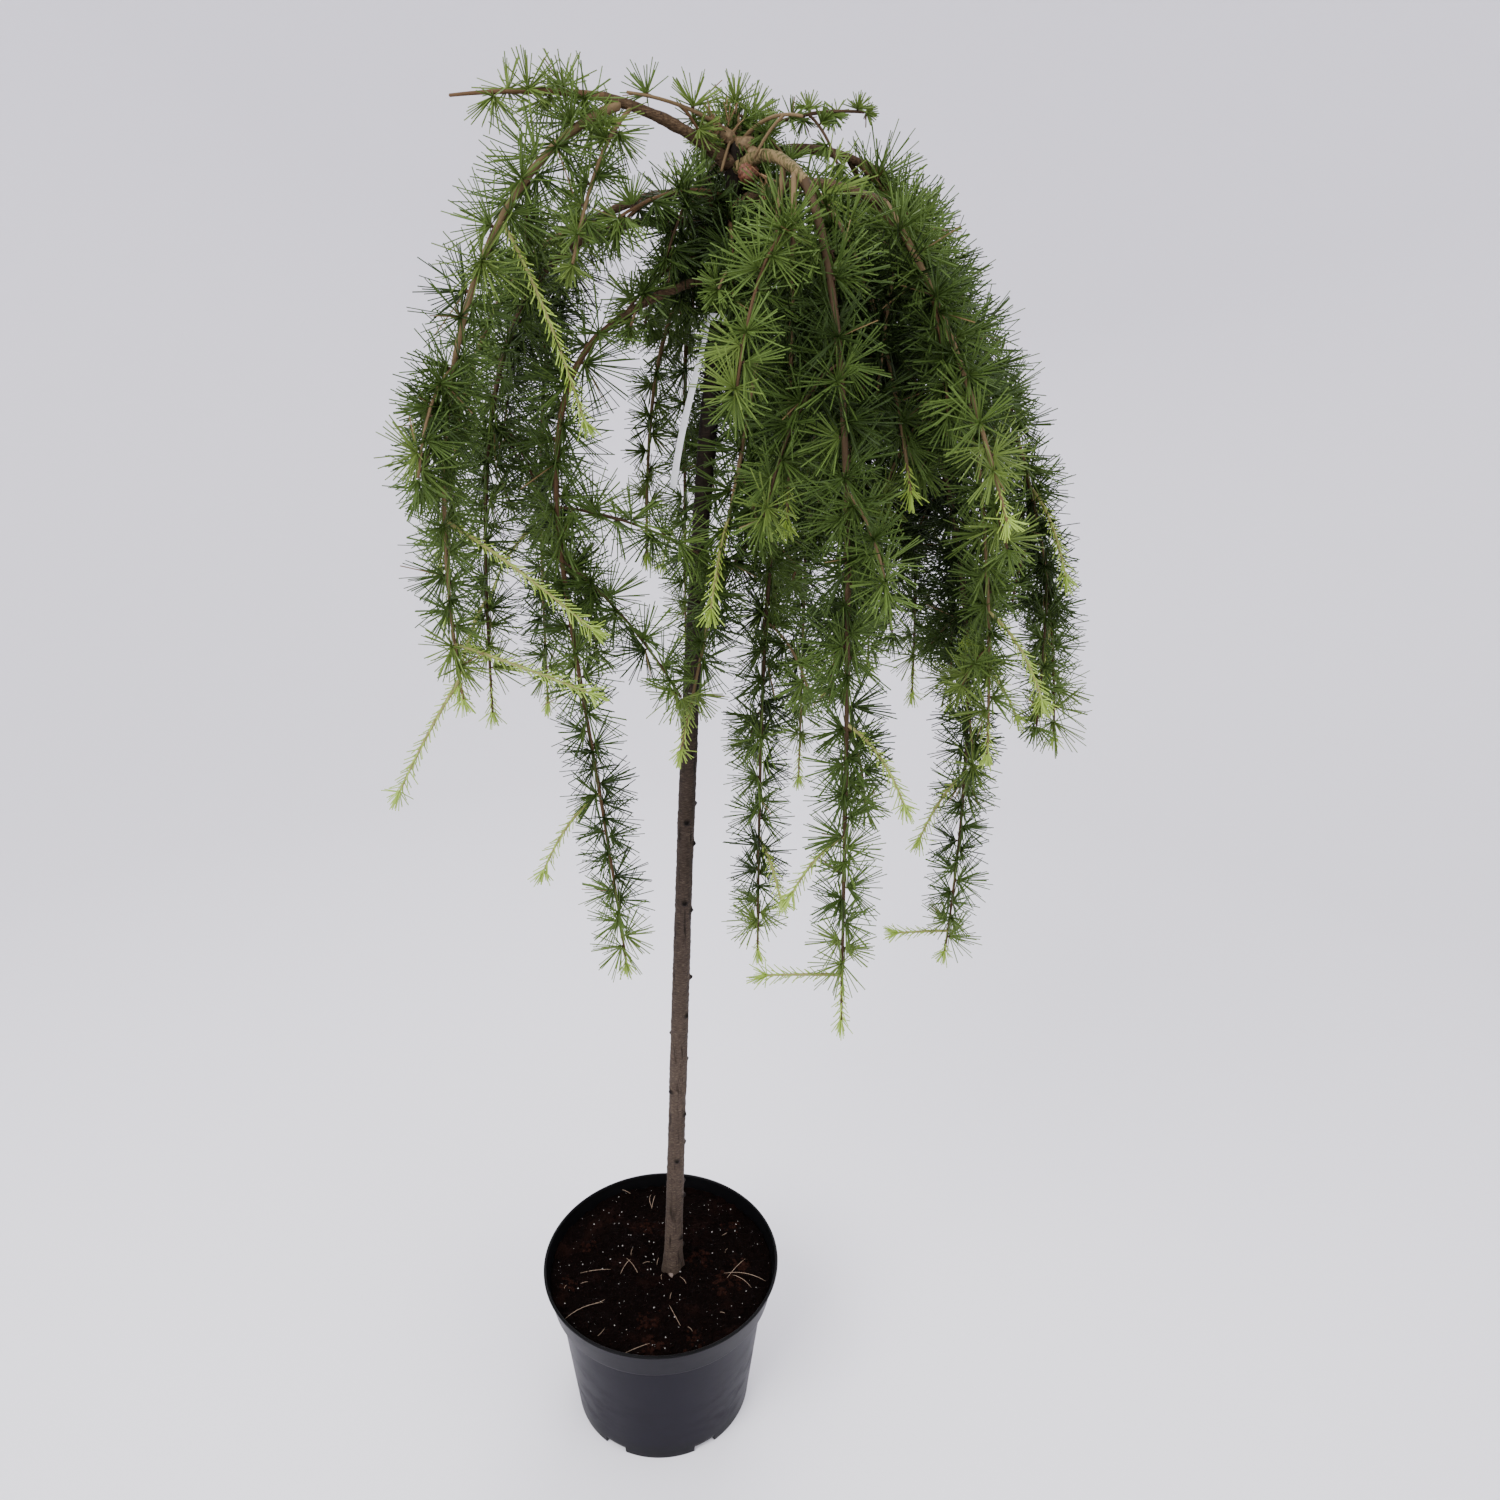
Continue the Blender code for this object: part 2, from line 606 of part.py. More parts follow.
def side_twigs(name, points, limb, space, sway):
    """The side shoots of a mass: those that show plainly, then those of the seeded rule."""
    twigs = [(part, reach, shoot, SHOOT_REACH) for mass, part, reach, shoot in SHOOTS if mass == name]
    count = round(limb.length / TWIG_SPACING)
    turn = sway.uniform(0, 360)
    for i in range(count):
        part = (i + SHOOT_ENDS) / (count - 1 + 2 * SHOOT_ENDS)
        turn += GOLDEN_ANGLE
        length = sway.uniform(*SHOOT_LENGTHS) * (1 - SHOOT_TAPER * part)
        reach = BLADE_REACH * (1 - BLADE_TAPER * part)
        shoot = Limb(turn, sway.uniform(*SHOOT_STARTS), SHOOT_DROOP, SHOOT_HANG, length)
        twigs.append((part, reach, shoot, TWIG_REACH))
    grown = []
    for part, reach, shoot, limit in twigs:
        root = points[round(part * (len(points) - 1))]
        path, headings = limb_path(root, shoot, SHOOT_STEP)
        if space.holds(name, resampled(path)[1:], limit).all():
            grown.append((path, headings, reach))
    return grown


def join_all(base, pieces):
    """Fuses the pieces to the base by one Boolean union on a collection, and removes them.
    Where that gives no closed solid, it leaves out the piece that spoils it."""
    group = bpy.data.collections.new("joined")
    bpy.context.scene.collection.children.link(group)
    for piece in pieces:
        bpy.context.scene.collection.objects.unlink(piece)
        group.objects.link(piece)
    union = base.modifiers.new("union", "BOOLEAN")
    union.operation = "UNION"
    union.operand_type = "COLLECTION"
    union.collection = group
    fused = fused_mesh(base, union)
    while not is_closed(fused):
        fused = fused_without_one(base, union, group)
    base.modifiers.remove(union)
    base.data = fused
    for piece in pieces:
        bpy.data.objects.remove(piece, do_unlink=True)
    bpy.data.collections.remove(group)


def fused_without_one(base, union, group):
    """Leaves out each piece in turn until the rest fuse well, or else the last of them."""
    for piece in reversed(list(group.objects)):
        group.objects.unlink(piece)
        fused = fused_mesh(base, union)
        if is_closed(fused):
            return fused
        group.objects.link(piece)
    group.objects.unlink(piece)
    return fused_mesh(base, union)


def fused_mesh(base, union):
    for solver in ("EXACT", "MANIFOLD"):
        union.solver = solver
        graph = bpy.context.evaluated_depsgraph_get()
        graph.update()
        fused = bpy.data.meshes.new_from_object(base.evaluated_get(graph))
        keep_largest_body(fused)
        if is_closed(fused):
            break
    return fused


def is_closed(mesh):
    bm = bmesh.new()
    bm.from_mesh(mesh)
    closed = bool(bm.edges) and all(edge.is_manifold for edge in bm.edges)
    bm.free()
    return closed


def keep_largest_body(mesh):
    """Drops loose scraps and the shells of sealed hollows that fusing leaves."""
    bm = bmesh.new()
    bm.from_mesh(mesh)
    left, bodies = set(bm.verts), []
    while left:
        body, edge = set(), [left.pop()]
        while edge:
            vert = edge.pop()
            body.add(vert)
            near = {link.other_vert(vert) for link in vert.link_edges} & left
            edge += near
            left -= near
        bodies.append(body)
    bodies.sort(key=len)
    for body in bodies[:-1]:
        bmesh.ops.delete(bm, geom=list(body), context="VERTS")
    bmesh.ops.triangulate(bm, faces=bm.faces)
    bm.to_mesh(mesh)
    bm.free()


def build_mass(name, number, seat, space, material):
    """One mass: a drooping stem, its side twigs and their blades, fused into one solid."""
    _, radius, limb = MASSES[name]
    foot, outward = seat
    sway = random.Random(SEED + number)
    points, headings = limb_path(foot, limb)
    stem_radii = np.linspace(radius, TWIG_TIP_RADIUS, len(points))
    bm = bmesh.new()
    tube(bm, points, [outward] + headings[1:], stem_radii, TWIG_SIDES)
    stem = mesh_object(f"foliage_{name}", bm, material)
    gap = BLADE_SPACING if limb.length > SHORT_LIMB else SHORT_SPACING
    pieces = blades_along(points, headings, name, space, sway, material, BLADE_REACH, gap)
    for path, turns, reach in side_twigs(name, points, limb, space, sway):
        twig_radii = np.linspace(TWIG_FOOT_RADIUS, TWIG_TIP_RADIUS, len(path))
        bm = bmesh.new()
        tube(bm, path, turns, twig_radii, TWIG_SIDES)
        pieces.append(mesh_object("twig", bm, material))
        pieces += blades_along(path, turns, name, space, sway, material, reach, gap)
    join_all(stem, pieces)


def limb_lines(boughs):
    """The trunk's and the boughs' centre points and radii, for keeping foliage clear."""
    heights = np.arange(SOIL_LEVEL, HEAD_HEIGHT + LINE_STEP, LINE_STEP)
    lines = [([stem_centre(z) for z in heights], [stem_radius(z) for z in heights])]
    for bough in boughs.values():
        line = resampled(bough.points)
        parts = np.linspace(0, len(bough.taper) - 1, len(line))
        lines.append((line, np.interp(parts, range(len(bough.taper)), bough.taper)))
    return lines


def main():
    clear_scene()
    plastic = plain_material("pot_plastic", (0.035, 0.035, 0.040), 0.45)
    peat = plain_material("peat", (0.020, 0.012, 0.008), 0.95)
    bark = plain_material("bark", (0.150, 0.105, 0.070), 0.85)
    white = plain_material("white_plastic", (0.80, 0.80, 0.82), 0.50)
    needles = plain_material("needles", (0.060, 0.160, 0.035), 0.60)
    build_pot(plastic)
    build_soil(peat)
    trunk_surface = surface_of(build_trunk(bark))
    build_strip(white)
    boughs = {name: build_bough(name, trunk_surface, bark) for name in BOUGHS}
    seats, places = {}, {}
    for name, (carrier, radius, limb) in MASSES.items():
        if carrier in boughs:
            place = places.get(carrier, 0)
            places[carrier] = place + 1
            seats[name] = mass_foot(limb, radius, boughs[carrier], place)
        else:
            seats[name] = trunk_foot(limb, radius, carrier, trunk_surface)
    stems = {}
    for name, (foot, _) in seats.items():
        points, _ = limb_path(foot, MASSES[name][2])
        stems[name] = np.array(resampled(points))
    space = Space(stems, limb_lines(boughs))
    for number, name in enumerate(MASSES):
        build_mass(name, number, seats[name], space, needles)


main()
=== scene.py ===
"""A potted weeping larch, put together as the plant is: the pot, its soil, the grafted stem and
its boughs, the hanging twigs, their needles, the young shoots and the tag. Metres, +Z up, +X to
the right of the front view and -Y towards it."""

import math
from typing import NamedTuple

import bpy
import numpy as np
from mathutils import Matrix, Vector


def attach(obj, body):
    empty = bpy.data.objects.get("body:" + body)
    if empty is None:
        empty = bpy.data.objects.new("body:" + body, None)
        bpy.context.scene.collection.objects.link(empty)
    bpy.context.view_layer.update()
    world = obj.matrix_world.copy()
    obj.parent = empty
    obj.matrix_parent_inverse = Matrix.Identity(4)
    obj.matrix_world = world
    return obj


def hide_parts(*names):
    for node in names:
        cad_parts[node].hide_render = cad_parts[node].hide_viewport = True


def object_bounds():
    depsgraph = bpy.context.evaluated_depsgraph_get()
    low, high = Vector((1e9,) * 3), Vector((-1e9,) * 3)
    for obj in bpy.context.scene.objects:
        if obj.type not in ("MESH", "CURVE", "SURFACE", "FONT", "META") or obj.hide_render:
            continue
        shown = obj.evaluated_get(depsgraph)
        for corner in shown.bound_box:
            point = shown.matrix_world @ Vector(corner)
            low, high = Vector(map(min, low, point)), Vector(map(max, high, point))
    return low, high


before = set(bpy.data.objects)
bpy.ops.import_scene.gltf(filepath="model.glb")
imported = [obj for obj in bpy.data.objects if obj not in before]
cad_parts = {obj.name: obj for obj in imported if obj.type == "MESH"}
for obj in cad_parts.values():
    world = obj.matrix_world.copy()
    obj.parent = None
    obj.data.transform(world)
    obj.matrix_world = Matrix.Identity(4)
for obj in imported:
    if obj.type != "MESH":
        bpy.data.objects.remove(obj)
cad_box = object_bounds()


# The pot is one shot of black polypropylene, with a stiff collar, a rolled rim and six drain
# notches through the edge of its foot. Its outside has gone dull and dusty. Its rim is coloured
# near black, its collar a little darker, and its inside near black as painted shade.
POT_HEIGHT = 0.168
RIM_RADIUS = 0.115
RIM_ROLL = 0.0026
COLLAR_FOOT = 0.134
COLLAR_STEP = 0.002
COLLAR_FOOT_RADIUS = 0.1075
SHOULDER_RADIUS = 0.1015
FOOT_RADIUS = 0.087
FOOT_BAND = 0.010
FOOT_FLARE = 0.001
POT_WALL = 0.0025
POT_FLOOR = 0.008
NOTCH_COUNT = 6
NOTCH_WIDTH = 0.022
NOTCH_HEIGHT = 0.006
NOTCH_DEPTH = 0.012
NOTCH_EDGE = 0.0006
POT_COLUMNS = 240


def unit(vectors):
    """Each vector divided by its own length."""
    return vectors / np.maximum(np.linalg.norm(vectors, axis=-1, keepdims=True), 1e-12)


def rounded(corners, cuts, steps=6):
    """A line of (radius, height) corners, each inner one rounded: the two points a cut away
    from it along its sides are joined by the quadratic curve that it pulls."""
    corners = np.array(corners)
    corner, cuts = corners[1:-1], np.array(cuts)[:, None]
    start = corner + unit(corners[:-2] - corner) * cuts
    end = corner + unit(corners[2:] - corner) * cuts
    t = np.linspace(0, 1, steps)[:, None, None]
    curve = start * (1 - t) ** 2 + 2 * corner * t * (1 - t) + end * t**2
    return np.vstack([corners[:1], curve.transpose(1, 0, 2).reshape(-1, 2), corners[-1:]])


def turned(profile, angles):
    """A profile turned about Z: x = r cos a, y = r sin a, and the height stays."""
    radii, heights = profile[:, :1], profile[:, 1:]
    return np.stack([radii * np.cos(angles), radii * np.sin(angles), heights + 0 * angles], -1)


def shell(grid):
    """Points and outward triangles of a closed skin. The grid's columns close round on
    themselves, and its first and last rows are one point each."""
    rows, columns = grid.shape[0] - 2, grid.shape[1]
    verts = np.vstack([grid[:1, 0], grid[1:-1].reshape(-1, 3), grid[-1:, 0]])
    k = np.arange(columns)
    after = (k + 1) % columns
    low = 1 + columns * np.arange(rows - 1)[:, None]
    a, b, c, d = low + k, low + after, low + columns + after, low + columns + k
    sides = np.concatenate([np.stack([a, b, c], -1), np.stack([a, c, d], -1)]).reshape(-1, 3)
    last = 1 + columns * (rows - 1)
    foot = np.stack([0 * k, 1 + after, 1 + k], -1)
    head = np.stack([last + k, last + after, 0 * k + last + columns], -1)
    return verts, np.vstack([foot, sides, head])


def add_mesh(name, verts, faces, material, smooth=True, tone=None):
    """An object at the origin from an array of points and one of triangles. tone is a number
    for each point, which the material may read."""
    faces = np.asarray(faces, np.int32)
    mesh = bpy.data.meshes.new(name)
    mesh.vertices.add(len(verts))
    mesh.vertices.foreach_set("co", np.asarray(verts, np.float32).ravel())
    mesh.loops.add(faces.size)
    mesh.loops.foreach_set("vertex_index", faces.ravel())
    mesh.polygons.add(len(faces))
    mesh.polygons.foreach_set("loop_start", np.arange(0, faces.size, 3, dtype=np.int32))
    mesh.update(calc_edges=True)
    mesh.polygons.foreach_set("use_smooth", np.full(len(faces), smooth))
    if tone is not None:
        mesh.attributes.new("tone", "FLOAT", "POINT").data.foreach_set("value", tone.astype(np.float32))
    mesh.materials.append(material)
    made = bpy.data.objects.new(name, mesh)
    bpy.context.scene.collection.objects.link(made)
    return made


def add_piece(name, verts, faces, material, slot, replaced=(), smooth=True, tone=None):
    """A mesh that is a piece of the plant, attached to the root, with the nodes that it stands for hidden. Its slot
    is not used.
    """
    piece = add_mesh(name, verts, faces, material, smooth, tone)
    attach(piece, "root")
    if replaced:
        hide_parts(*replaced)
    return piece


def new_material(name, roughness, specular=0.5):
    """A material with its node tree and its surface shader."""
    made = bpy.data.materials.new(name)
    made.use_nodes = True
    surface = made.node_tree.nodes["Principled BSDF"]
    surface.inputs["Roughness"].default_value = roughness
    surface.inputs["Specular IOR Level"].default_value = specular
    return made, made.node_tree, surface


def object_place(tree, stretch=(1, 1, 1)):
    """The Object coordinates, stretched along their axes."""
    place = tree.nodes.new("ShaderNodeTexCoord")
    mapping = tree.nodes.new("ShaderNodeMapping")
    mapping.inputs["Scale"].default_value = stretch
    tree.links.new(place.outputs["Object"], mapping.inputs["Vector"])
    return mapping.outputs["Vector"]


def speckle(tree, place, scale, detail=5.0, roughness=0.6):
    """The value of a noise texture."""
    node = tree.nodes.new("ShaderNodeTexNoise")
    for key, value in (("Scale", scale), ("Detail", detail), ("Roughness", roughness)):
        node.inputs[key].default_value = value
    tree.links.new(place, node.inputs["Vector"])
    return node.outputs["Fac"]


def blend(tree, amount, first, second):
    """A colour between two, each given as a plain colour or as a node's output."""
    node = tree.nodes.new("ShaderNodeMix")
    node.data_type = "RGBA"
    tree.links.new(amount, node.inputs["Factor"])
    for colour, key in ((first, "A"), (second, "B")):
        socket = next(s for s in node.inputs if s.name == key and s.type == "RGBA")
        if isinstance(colour, tuple):
            socket.default_value = (*colour, 1)
        else:
            tree.links.new(colour, socket)
    return next(s for s in node.outputs if s.type == "RGBA")


def scaled(tree, value, low, high, start=0.0, end=1.0):
    """A value carried from the range low to high into the range start to end, and held there."""
    node = tree.nodes.new("ShaderNodeMapRange")
    for key, number in (("From Min", low), ("From Max", high), ("To Min", start), ("To Max", end)):
        node.inputs[key].default_value = number
    tree.links.new(value, node.inputs["Value"])
    return node.outputs["Result"]


def product(tree, first, second):
    node = tree.nodes.new("ShaderNodeMath")
    node.operation = "MULTIPLY"
    tree.links.new(first, node.inputs[0])
    tree.links.new(second, node.inputs[1])
    return node.outputs["Value"]


def height_above(tree):
    """The Z of the Object coordinates."""
    node = tree.nodes.new("ShaderNodeSeparateXYZ")
    tree.links.new(object_place(tree), node.inputs["Vector"])
    return node.outputs["Z"]


def tone_of(tree):
    """The number that each point of the mesh carries as its tone."""
    node = tree.nodes.new("ShaderNodeAttribute")
    node.attribute_name = "tone"
    return node.outputs["Fac"]


def bumpy(tree, surface, value, strength, distance):
    """Raises the surface's shading by a value, over a distance in metres."""
    node = tree.nodes.new("ShaderNodeBump")
    node.inputs["Strength"].default_value = strength
    node.inputs["Distance"].default_value = distance
    tree.links.new(value, node.inputs["Height"])
    tree.links.new(node.outputs["Normal"], surface.inputs["Normal"])


def pot_plastic():
    """Slate black plastic, paler where dust clings low on the wall, darker at the foot, and black
    where its tone is 1: over the rim, and over the inside as painted shade."""
    made, tree, surface = new_material("pot_plastic", 0.46, 0.065)
    place, level = object_place(tree), height_above(tree)
    slate = blend(tree, speckle(tree, place, 9, 3), (0.0042, 0.0035, 0.0070), (0.0071, 0.0061, 0.0108))
    dust = scaled(tree, speckle(tree, object_place(tree, (1, 1, 2.4)), 26, 7, 0.7), 0.46, 0.80, 0, 0.55)
    low = product(tree, scaled(tree, level, 0.008, 0.030), scaled(tree, level, 0.110, 0.060))
    clinging = product(tree, dust, scaled(tree, low, 0, 1, 0.30, 1))
    dusty = blend(tree, clinging, slate, (0.022, 0.0195, 0.0225))
    scuffs = scaled(tree, speckle(tree, object_place(tree, (1, 1, 22)), 34, 4, 0.75), 0.64, 0.76, 0, 0.35)
    scuffed = blend(tree, scuffs, dusty, (0.022, 0.022, 0.025))
    footed = blend(tree, scaled(tree, level, 0.022, 0.004), scuffed, (0.006, 0.006, 0.007))
    # Near black where the tone is 1: the rim, and the inside, where it is painted shade.
    colour = blend(tree, tone_of(tree), footed, (0.0022, 0.0022, 0.0025))
    tree.links.new(colour, surface.inputs["Base Color"])
    tree.links.new(scaled(tree, clinging, 0, 0.5, 0.40, 0.66), surface.inputs["Roughness"])
    bumpy(tree, surface, speckle(tree, place, 700, 3), 0.12, 0.0003)
    return made


notch_back = FOOT_RADIUS - NOTCH_DEPTH
profile = rounded(
    (
        (0, 0),
        (notch_back - 0.0002, 0),
        (notch_back, 0),
        (FOOT_RADIUS, 0),
        (FOOT_RADIUS + FOOT_FLARE, FOOT_BAND),
        (SHOULDER_RADIUS, COLLAR_FOOT),
        (COLLAR_FOOT_RADIUS, COLLAR_FOOT + COLLAR_STEP),
        (RIM_RADIUS - 0.0014, POT_HEIGHT - RIM_ROLL),
        (RIM_RADIUS, POT_HEIGHT - RIM_ROLL),
        (RIM_RADIUS, POT_HEIGHT),
        (RIM_RADIUS - RIM_ROLL, POT_HEIGHT),
        (COLLAR_FOOT_RADIUS - POT_WALL, COLLAR_FOOT + COLLAR_STEP / 2),
        (SHOULDER_RADIUS - POT_WALL, COLLAR_FOOT - COLLAR_STEP / 2),
        (FOOT_RADIUS - POT_WALL, POT_FLOOR),
        (0, POT_FLOOR),
    ),
    (0.00005, 0.00005, 0.0008, 0.002, 0.0018, 0.0022, 0.0004, 0.0006, 0.0011, 0.0011, 0.002, 0.002, 0.002),
)
half = NOTCH_WIDTH / 2 / FOOT_RADIUS
middles = -math.pi / 2 + math.tau * (np.arange(NOTCH_COUNT) + 0.5) / NOTCH_COUNT
edges = (half + np.array([-1, 1]) * NOTCH_EDGE / 2 / FOOT_RADIUS)[None] * np.array([[-1], [1]])
angles = np.concatenate([
    np.arange(POT_COLUMNS) * math.tau / POT_COLUMNS,
    (middles[:, None] + edges.reshape(1, -1)).ravel() % math.tau,
])
angles = np.unique(angles)
aside = np.abs((angles[:, None] - middles + math.pi) % math.tau - math.pi).min(axis=1)
raised = NOTCH_HEIGHT * np.clip((half - aside) * FOOT_RADIUS / NOTCH_EDGE + 0.5, 0, 1)
grid = turned(profile, angles)
outer = (profile[:, 0] > notch_back - 0.0001) & (np.arange(len(profile)) < len(profile) * 0.6)
fade = np.where(outer, np.clip(1 - profile[:, 1] / FOOT_BAND, 0, 1), 0)
grid[..., 2] += raised * fade[:, None]
# The tone is 1 from the rim's roll over its top and the whole inside, where the near black is painted shade, and 0.35
# on the outside of the collar, which is a little darker.
beyond_rim = np.arange(len(profile)) > np.argmax(profile[:, 0])
black = np.clip((profile[:, 1] - POT_HEIGHT + RIM_ROLL) / 0.0004 + 0.5, 0, 1)
black = np.where(beyond_rim, 1, np.maximum(black, 0.35 * (profile[:, 1] > COLLAR_FOOT)))
verts, faces = shell(grid)
tone = np.concatenate([[0], np.repeat(black[1:-1], len(angles)), [1]])
add_piece("pot_shell", verts, faces, pot_plastic(), "pot_plastic", ["pot"], tone=tone)


# The soil is dark peat that fills the pot to 13 mm under its rim, over the root ball. Its top
# is loose crumbs with grains of white perlite, dry straws and a few reddish clods on it.
SOIL_LEVEL = 0.155
SOIL_GAP = 0.0006
SOIL_RINGS = 120
SOIL_COLUMNS = 400
CRUMBS = 1500
PERLITE_GRAINS = 230
STRAY_STRAWS = 15
CLOD_PARTS = 26
# The straws that show plainly: where each lies in mm, its heading and length, and its rise.
STRAWS = (
    (-65, -4, 8, 30, 1),
    (-72, -50, 28, 38, 2),
    (-18, -93, 25, 25, 1),
    (15, -59, 116, 26, 1),
    (-29, 1, 124, 22, 3),
    (-36, 0, 65, 20, 4),
    (-47, 100, 160, 20, 2),
    (83, -13, 166, 42, 3),
    (74, -4, 52, 30, 4),
    (80, -20, 140, 24, 3),
    (-17, 85, 96, 19, 4),
    (-13, 84, 82, 19, 4),
)
# The clods: where each lies in mm, and its size in mm.
CLODS = (
    (62, -21, 19), (80, 0, 15), (38, 8, 17), (-3, -90, 18), (-12, -62, 16), (35, -82, 14),
    (-90, -20, 14), (-19, 50, 15), (70, 52, 13), (-76, 28, 11), (73, -14, 12),
)
rng = np.random.default_rng(5)


def cell_numbers(cells, seed):
    """A number from 0 to 1 for each whole-numbered cell: the fraction that is left of a large
    sine of the cell's own numbers."""
    mixed = cells @ np.array([127.1, 311.7, 74.7]) + seed * 19.19
    return np.modf(np.abs(np.sin(mixed)) * 43758.5453)[0]


def noise(points, size, seed):
    """Smooth relief from -1 to 1: the numbers of the eight corners of each point's cell,
    blended by 3t²-2t³ along each axis. The size is a cell's, in metres."""
    places = np.asarray(points) / size
    cell = np.floor(places)
    part = places - cell
    part = part * part * (3 - 2 * part)
    total = 0.0
    for corner in np.ndindex(2, 2, 2):
        total = total + np.where(corner, part, 1 - part).prod(axis=-1) * cell_numbers(cell + corner, seed)
    return 2 * total - 1


class Bundle:
    """Gathers the points and triangles of many small shapes into one piece."""

    def __init__(self):
        self.verts, self.faces, self.count = [], [], 0

    def add(self, verts, faces):
        self.verts.append(verts)
        self.faces.append(faces + self.count)
        self.count += len(verts)

    def piece(self, name, material, slot, replaced=(), smooth=True):
        return add_piece(name, np.vstack(self.verts), np.vstack(self.faces), material, slot, replaced, smooth)


def square_to(axes):
    """A unit vector square to each axis."""
    other = np.where(np.abs(axes[..., 2:3]) < 0.9, [0.0, 0.0, 1.0], [1.0, 0.0, 0.0])
    return unit(np.cross(axes, other))


def tube(points, headings, radii, sides):
    """A closed round limb: a ring of the given radii carried along the points, square to the
    heading at each, and drawn together to one point beyond either end."""
    bend = np.cross(headings[0], headings[-1])
    reference = bend if np.linalg.norm(bend) > 0.1 else square_to(headings[0])
    across = unit(reference - headings * (headings @ reference)[:, None])
    turns = np.arange(sides) * math.tau / sides
    ring = across[:, None] * np.cos(turns)[:, None] + np.cross(headings, across)[:, None] * np.sin(turns)[:, None]
    radii = np.broadcast_to(np.asarray(radii).reshape(len(points), -1), (len(points), sides))
    grid = points[:, None] + ring * radii[..., None]
    foot = points[0] - headings[0] * radii[0].mean() * 0.5
    tip = points[-1] + headings[-1] * radii[-1].mean() * 0.5
    ends = [np.broadcast_to(end, (1, sides, 3)) for end in (foot, tip)]
    return shell(np.concatenate([ends[0], grid, ends[1]]))


def soil_height(x, y):
    """How the top of the soil rises and falls: broad swells, then three sizes of round crumb
    (one less the size of a smooth noise, so that it creases between crumbs)."""
    points = np.stack([x, y, 0 * x], -1)
    swell = 0.0022 * noise(points, 0.034, 1)
    crumb = 0.0030 * (1 - np.abs(noise(points, 0.0085, 2))) + 0.0016 * (1 - np.abs(noise(points, 0.0040, 3)))
    return SOIL_LEVEL - 0.0036 + swell + crumb + 0.0008 * (1 - np.abs(noise(points, 0.0019, 4)))


def lumps(middles, sizes, flatness=0.7):
    """Rough stones of twenty faces: the corners of an icosahedron, each moved in or out by
    chance, and the whole turned by chance and flattened."""
    golden = (1 + 5**0.5) / 2
    corners = unit(np.array([
        (-1, golden, 0), (1, golden, 0), (-1, -golden, 0), (1, -golden, 0),
        (0, -1, golden), (0, 1, golden), (0, -1, -golden), (0, 1, -golden),
        (golden, 0, -1), (golden, 0, 1), (-golden, 0, -1), (-golden, 0, 1),
    ]))
    faces = np.array([
        (0, 11, 5), (0, 5, 1), (0, 1, 7), (0, 7, 10), (0, 10, 11), (1, 5, 9), (5, 11, 4),
        (11, 10, 2), (10, 7, 6), (7, 1, 8), (3, 9, 4), (3, 4, 2), (3, 2, 6), (3, 6, 8),
        (3, 8, 9), (4, 9, 5), (2, 4, 11), (6, 2, 10), (8, 6, 7), (9, 8, 1),
    ])
    count = len(middles)
    turn = rng.uniform(0, math.tau, count)
    cos, sin, nil = np.cos(turn), np.sin(turn), 0 * turn
    spins = np.stack([cos, -sin, nil, sin, cos, nil, nil, nil, nil + 1], -1).reshape(count, 3, 3)
    shapes = corners * rng.uniform(0.65, 1.15, (count, 12, 1)) * (1, 0.8, flatness)
    shapes = np.einsum("nij,nkj->nki", spins, shapes) * (sizes / 2)[:, None, None]
    verts = middles[:, None] + shapes
    return verts.reshape(-1, 3), (faces + 12 * np.arange(count)[:, None, None]).reshape(-1, 3)


def strewn(count, sizes, sunk):
    """Places spread evenly over the soil by chance, each sunk by a part of its own size."""
    radius, turn = brim * 0.985 * np.sqrt(rng.random(count)), rng.uniform(0, math.tau, count)
    x, y = radius * np.cos(turn), radius * np.sin(turn)
    return np.stack([x, y, soil_height(x, y) + sizes * (0.5 - sunk)], -1)


def straw_tube(x, y, azimuth, length, rise, width):
    """A dry straw on the soil, bowed a little to one side and lifted in its middle."""
    part = np.linspace(-0.5, 0.5, 7)
    ahead = np.array([math.cos(azimuth), math.sin(azimuth)])
    aside = np.array([-ahead[1], ahead[0]]) * rng.uniform(-0.12, 0.12) * length
    flat = np.array([x, y]) + part[:, None] * length * ahead + (part**2)[:, None] * 4 * aside
    level = soil_height(flat[:, 0], flat[:, 1]).max() + width + rise * (1 - 4 * part**2) * 0.5
    points = np.column_stack([flat, level])
    headings = unit(np.gradient(points, axis=0))
    return tube(points, headings, width * np.array([0.6, 0.9, 1, 1, 1, 0.9, 0.5]), 5)


def peat():
    """Nearly black, mottled darker at random, with brown fibres and rusty patches."""
    made, tree, surface = new_material("peat", 0.9, 0.02)
    place = object_place(tree)
    dark = blend(tree, speckle(tree, place, 260, 7, 0.7), (0.0006, 0.0003, 0.00025), (0.0042, 0.0021, 0.0016))
    rusty = scaled(tree, speckle(tree, place, 30, 5), 0.52, 0.66, 0, 0.5)
    tinted = blend(tree, rusty, dark, (0.0105, 0.0042, 0.0030))
    fibres = scaled(tree, speckle(tree, object_place(tree, (1, 3.2, 1)), 330, 3, 0.7), 0.66, 0.74, 0, 0.45)
    tree.links.new(blend(tree, fibres, tinted, (0.026, 0.014, 0.009)), surface.inputs["Base Color"])
    tree.links.new(scaled(tree, speckle(tree, place, 90), 0.3, 0.7, 0.62, 0.98), surface.inputs["Roughness"])
    bumpy(tree, surface, speckle(tree, place, 420, 7, 0.7), 0.9, 0.0012)
    return made


def grainy(name, dark, light, scale, roughness, relief, specular=0.3):
    """A dull mottled finish between two colours, with a grain of the given scale."""
    made, tree, surface = new_material(name, roughness, specular)
    grain = speckle(tree, object_place(tree), scale)
    tree.links.new(blend(tree, scaled(tree, grain, 0.3, 0.7), dark, light), surface.inputs["Base Color"])
    bumpy(tree, surface, grain, 0.6, relief)
    return made


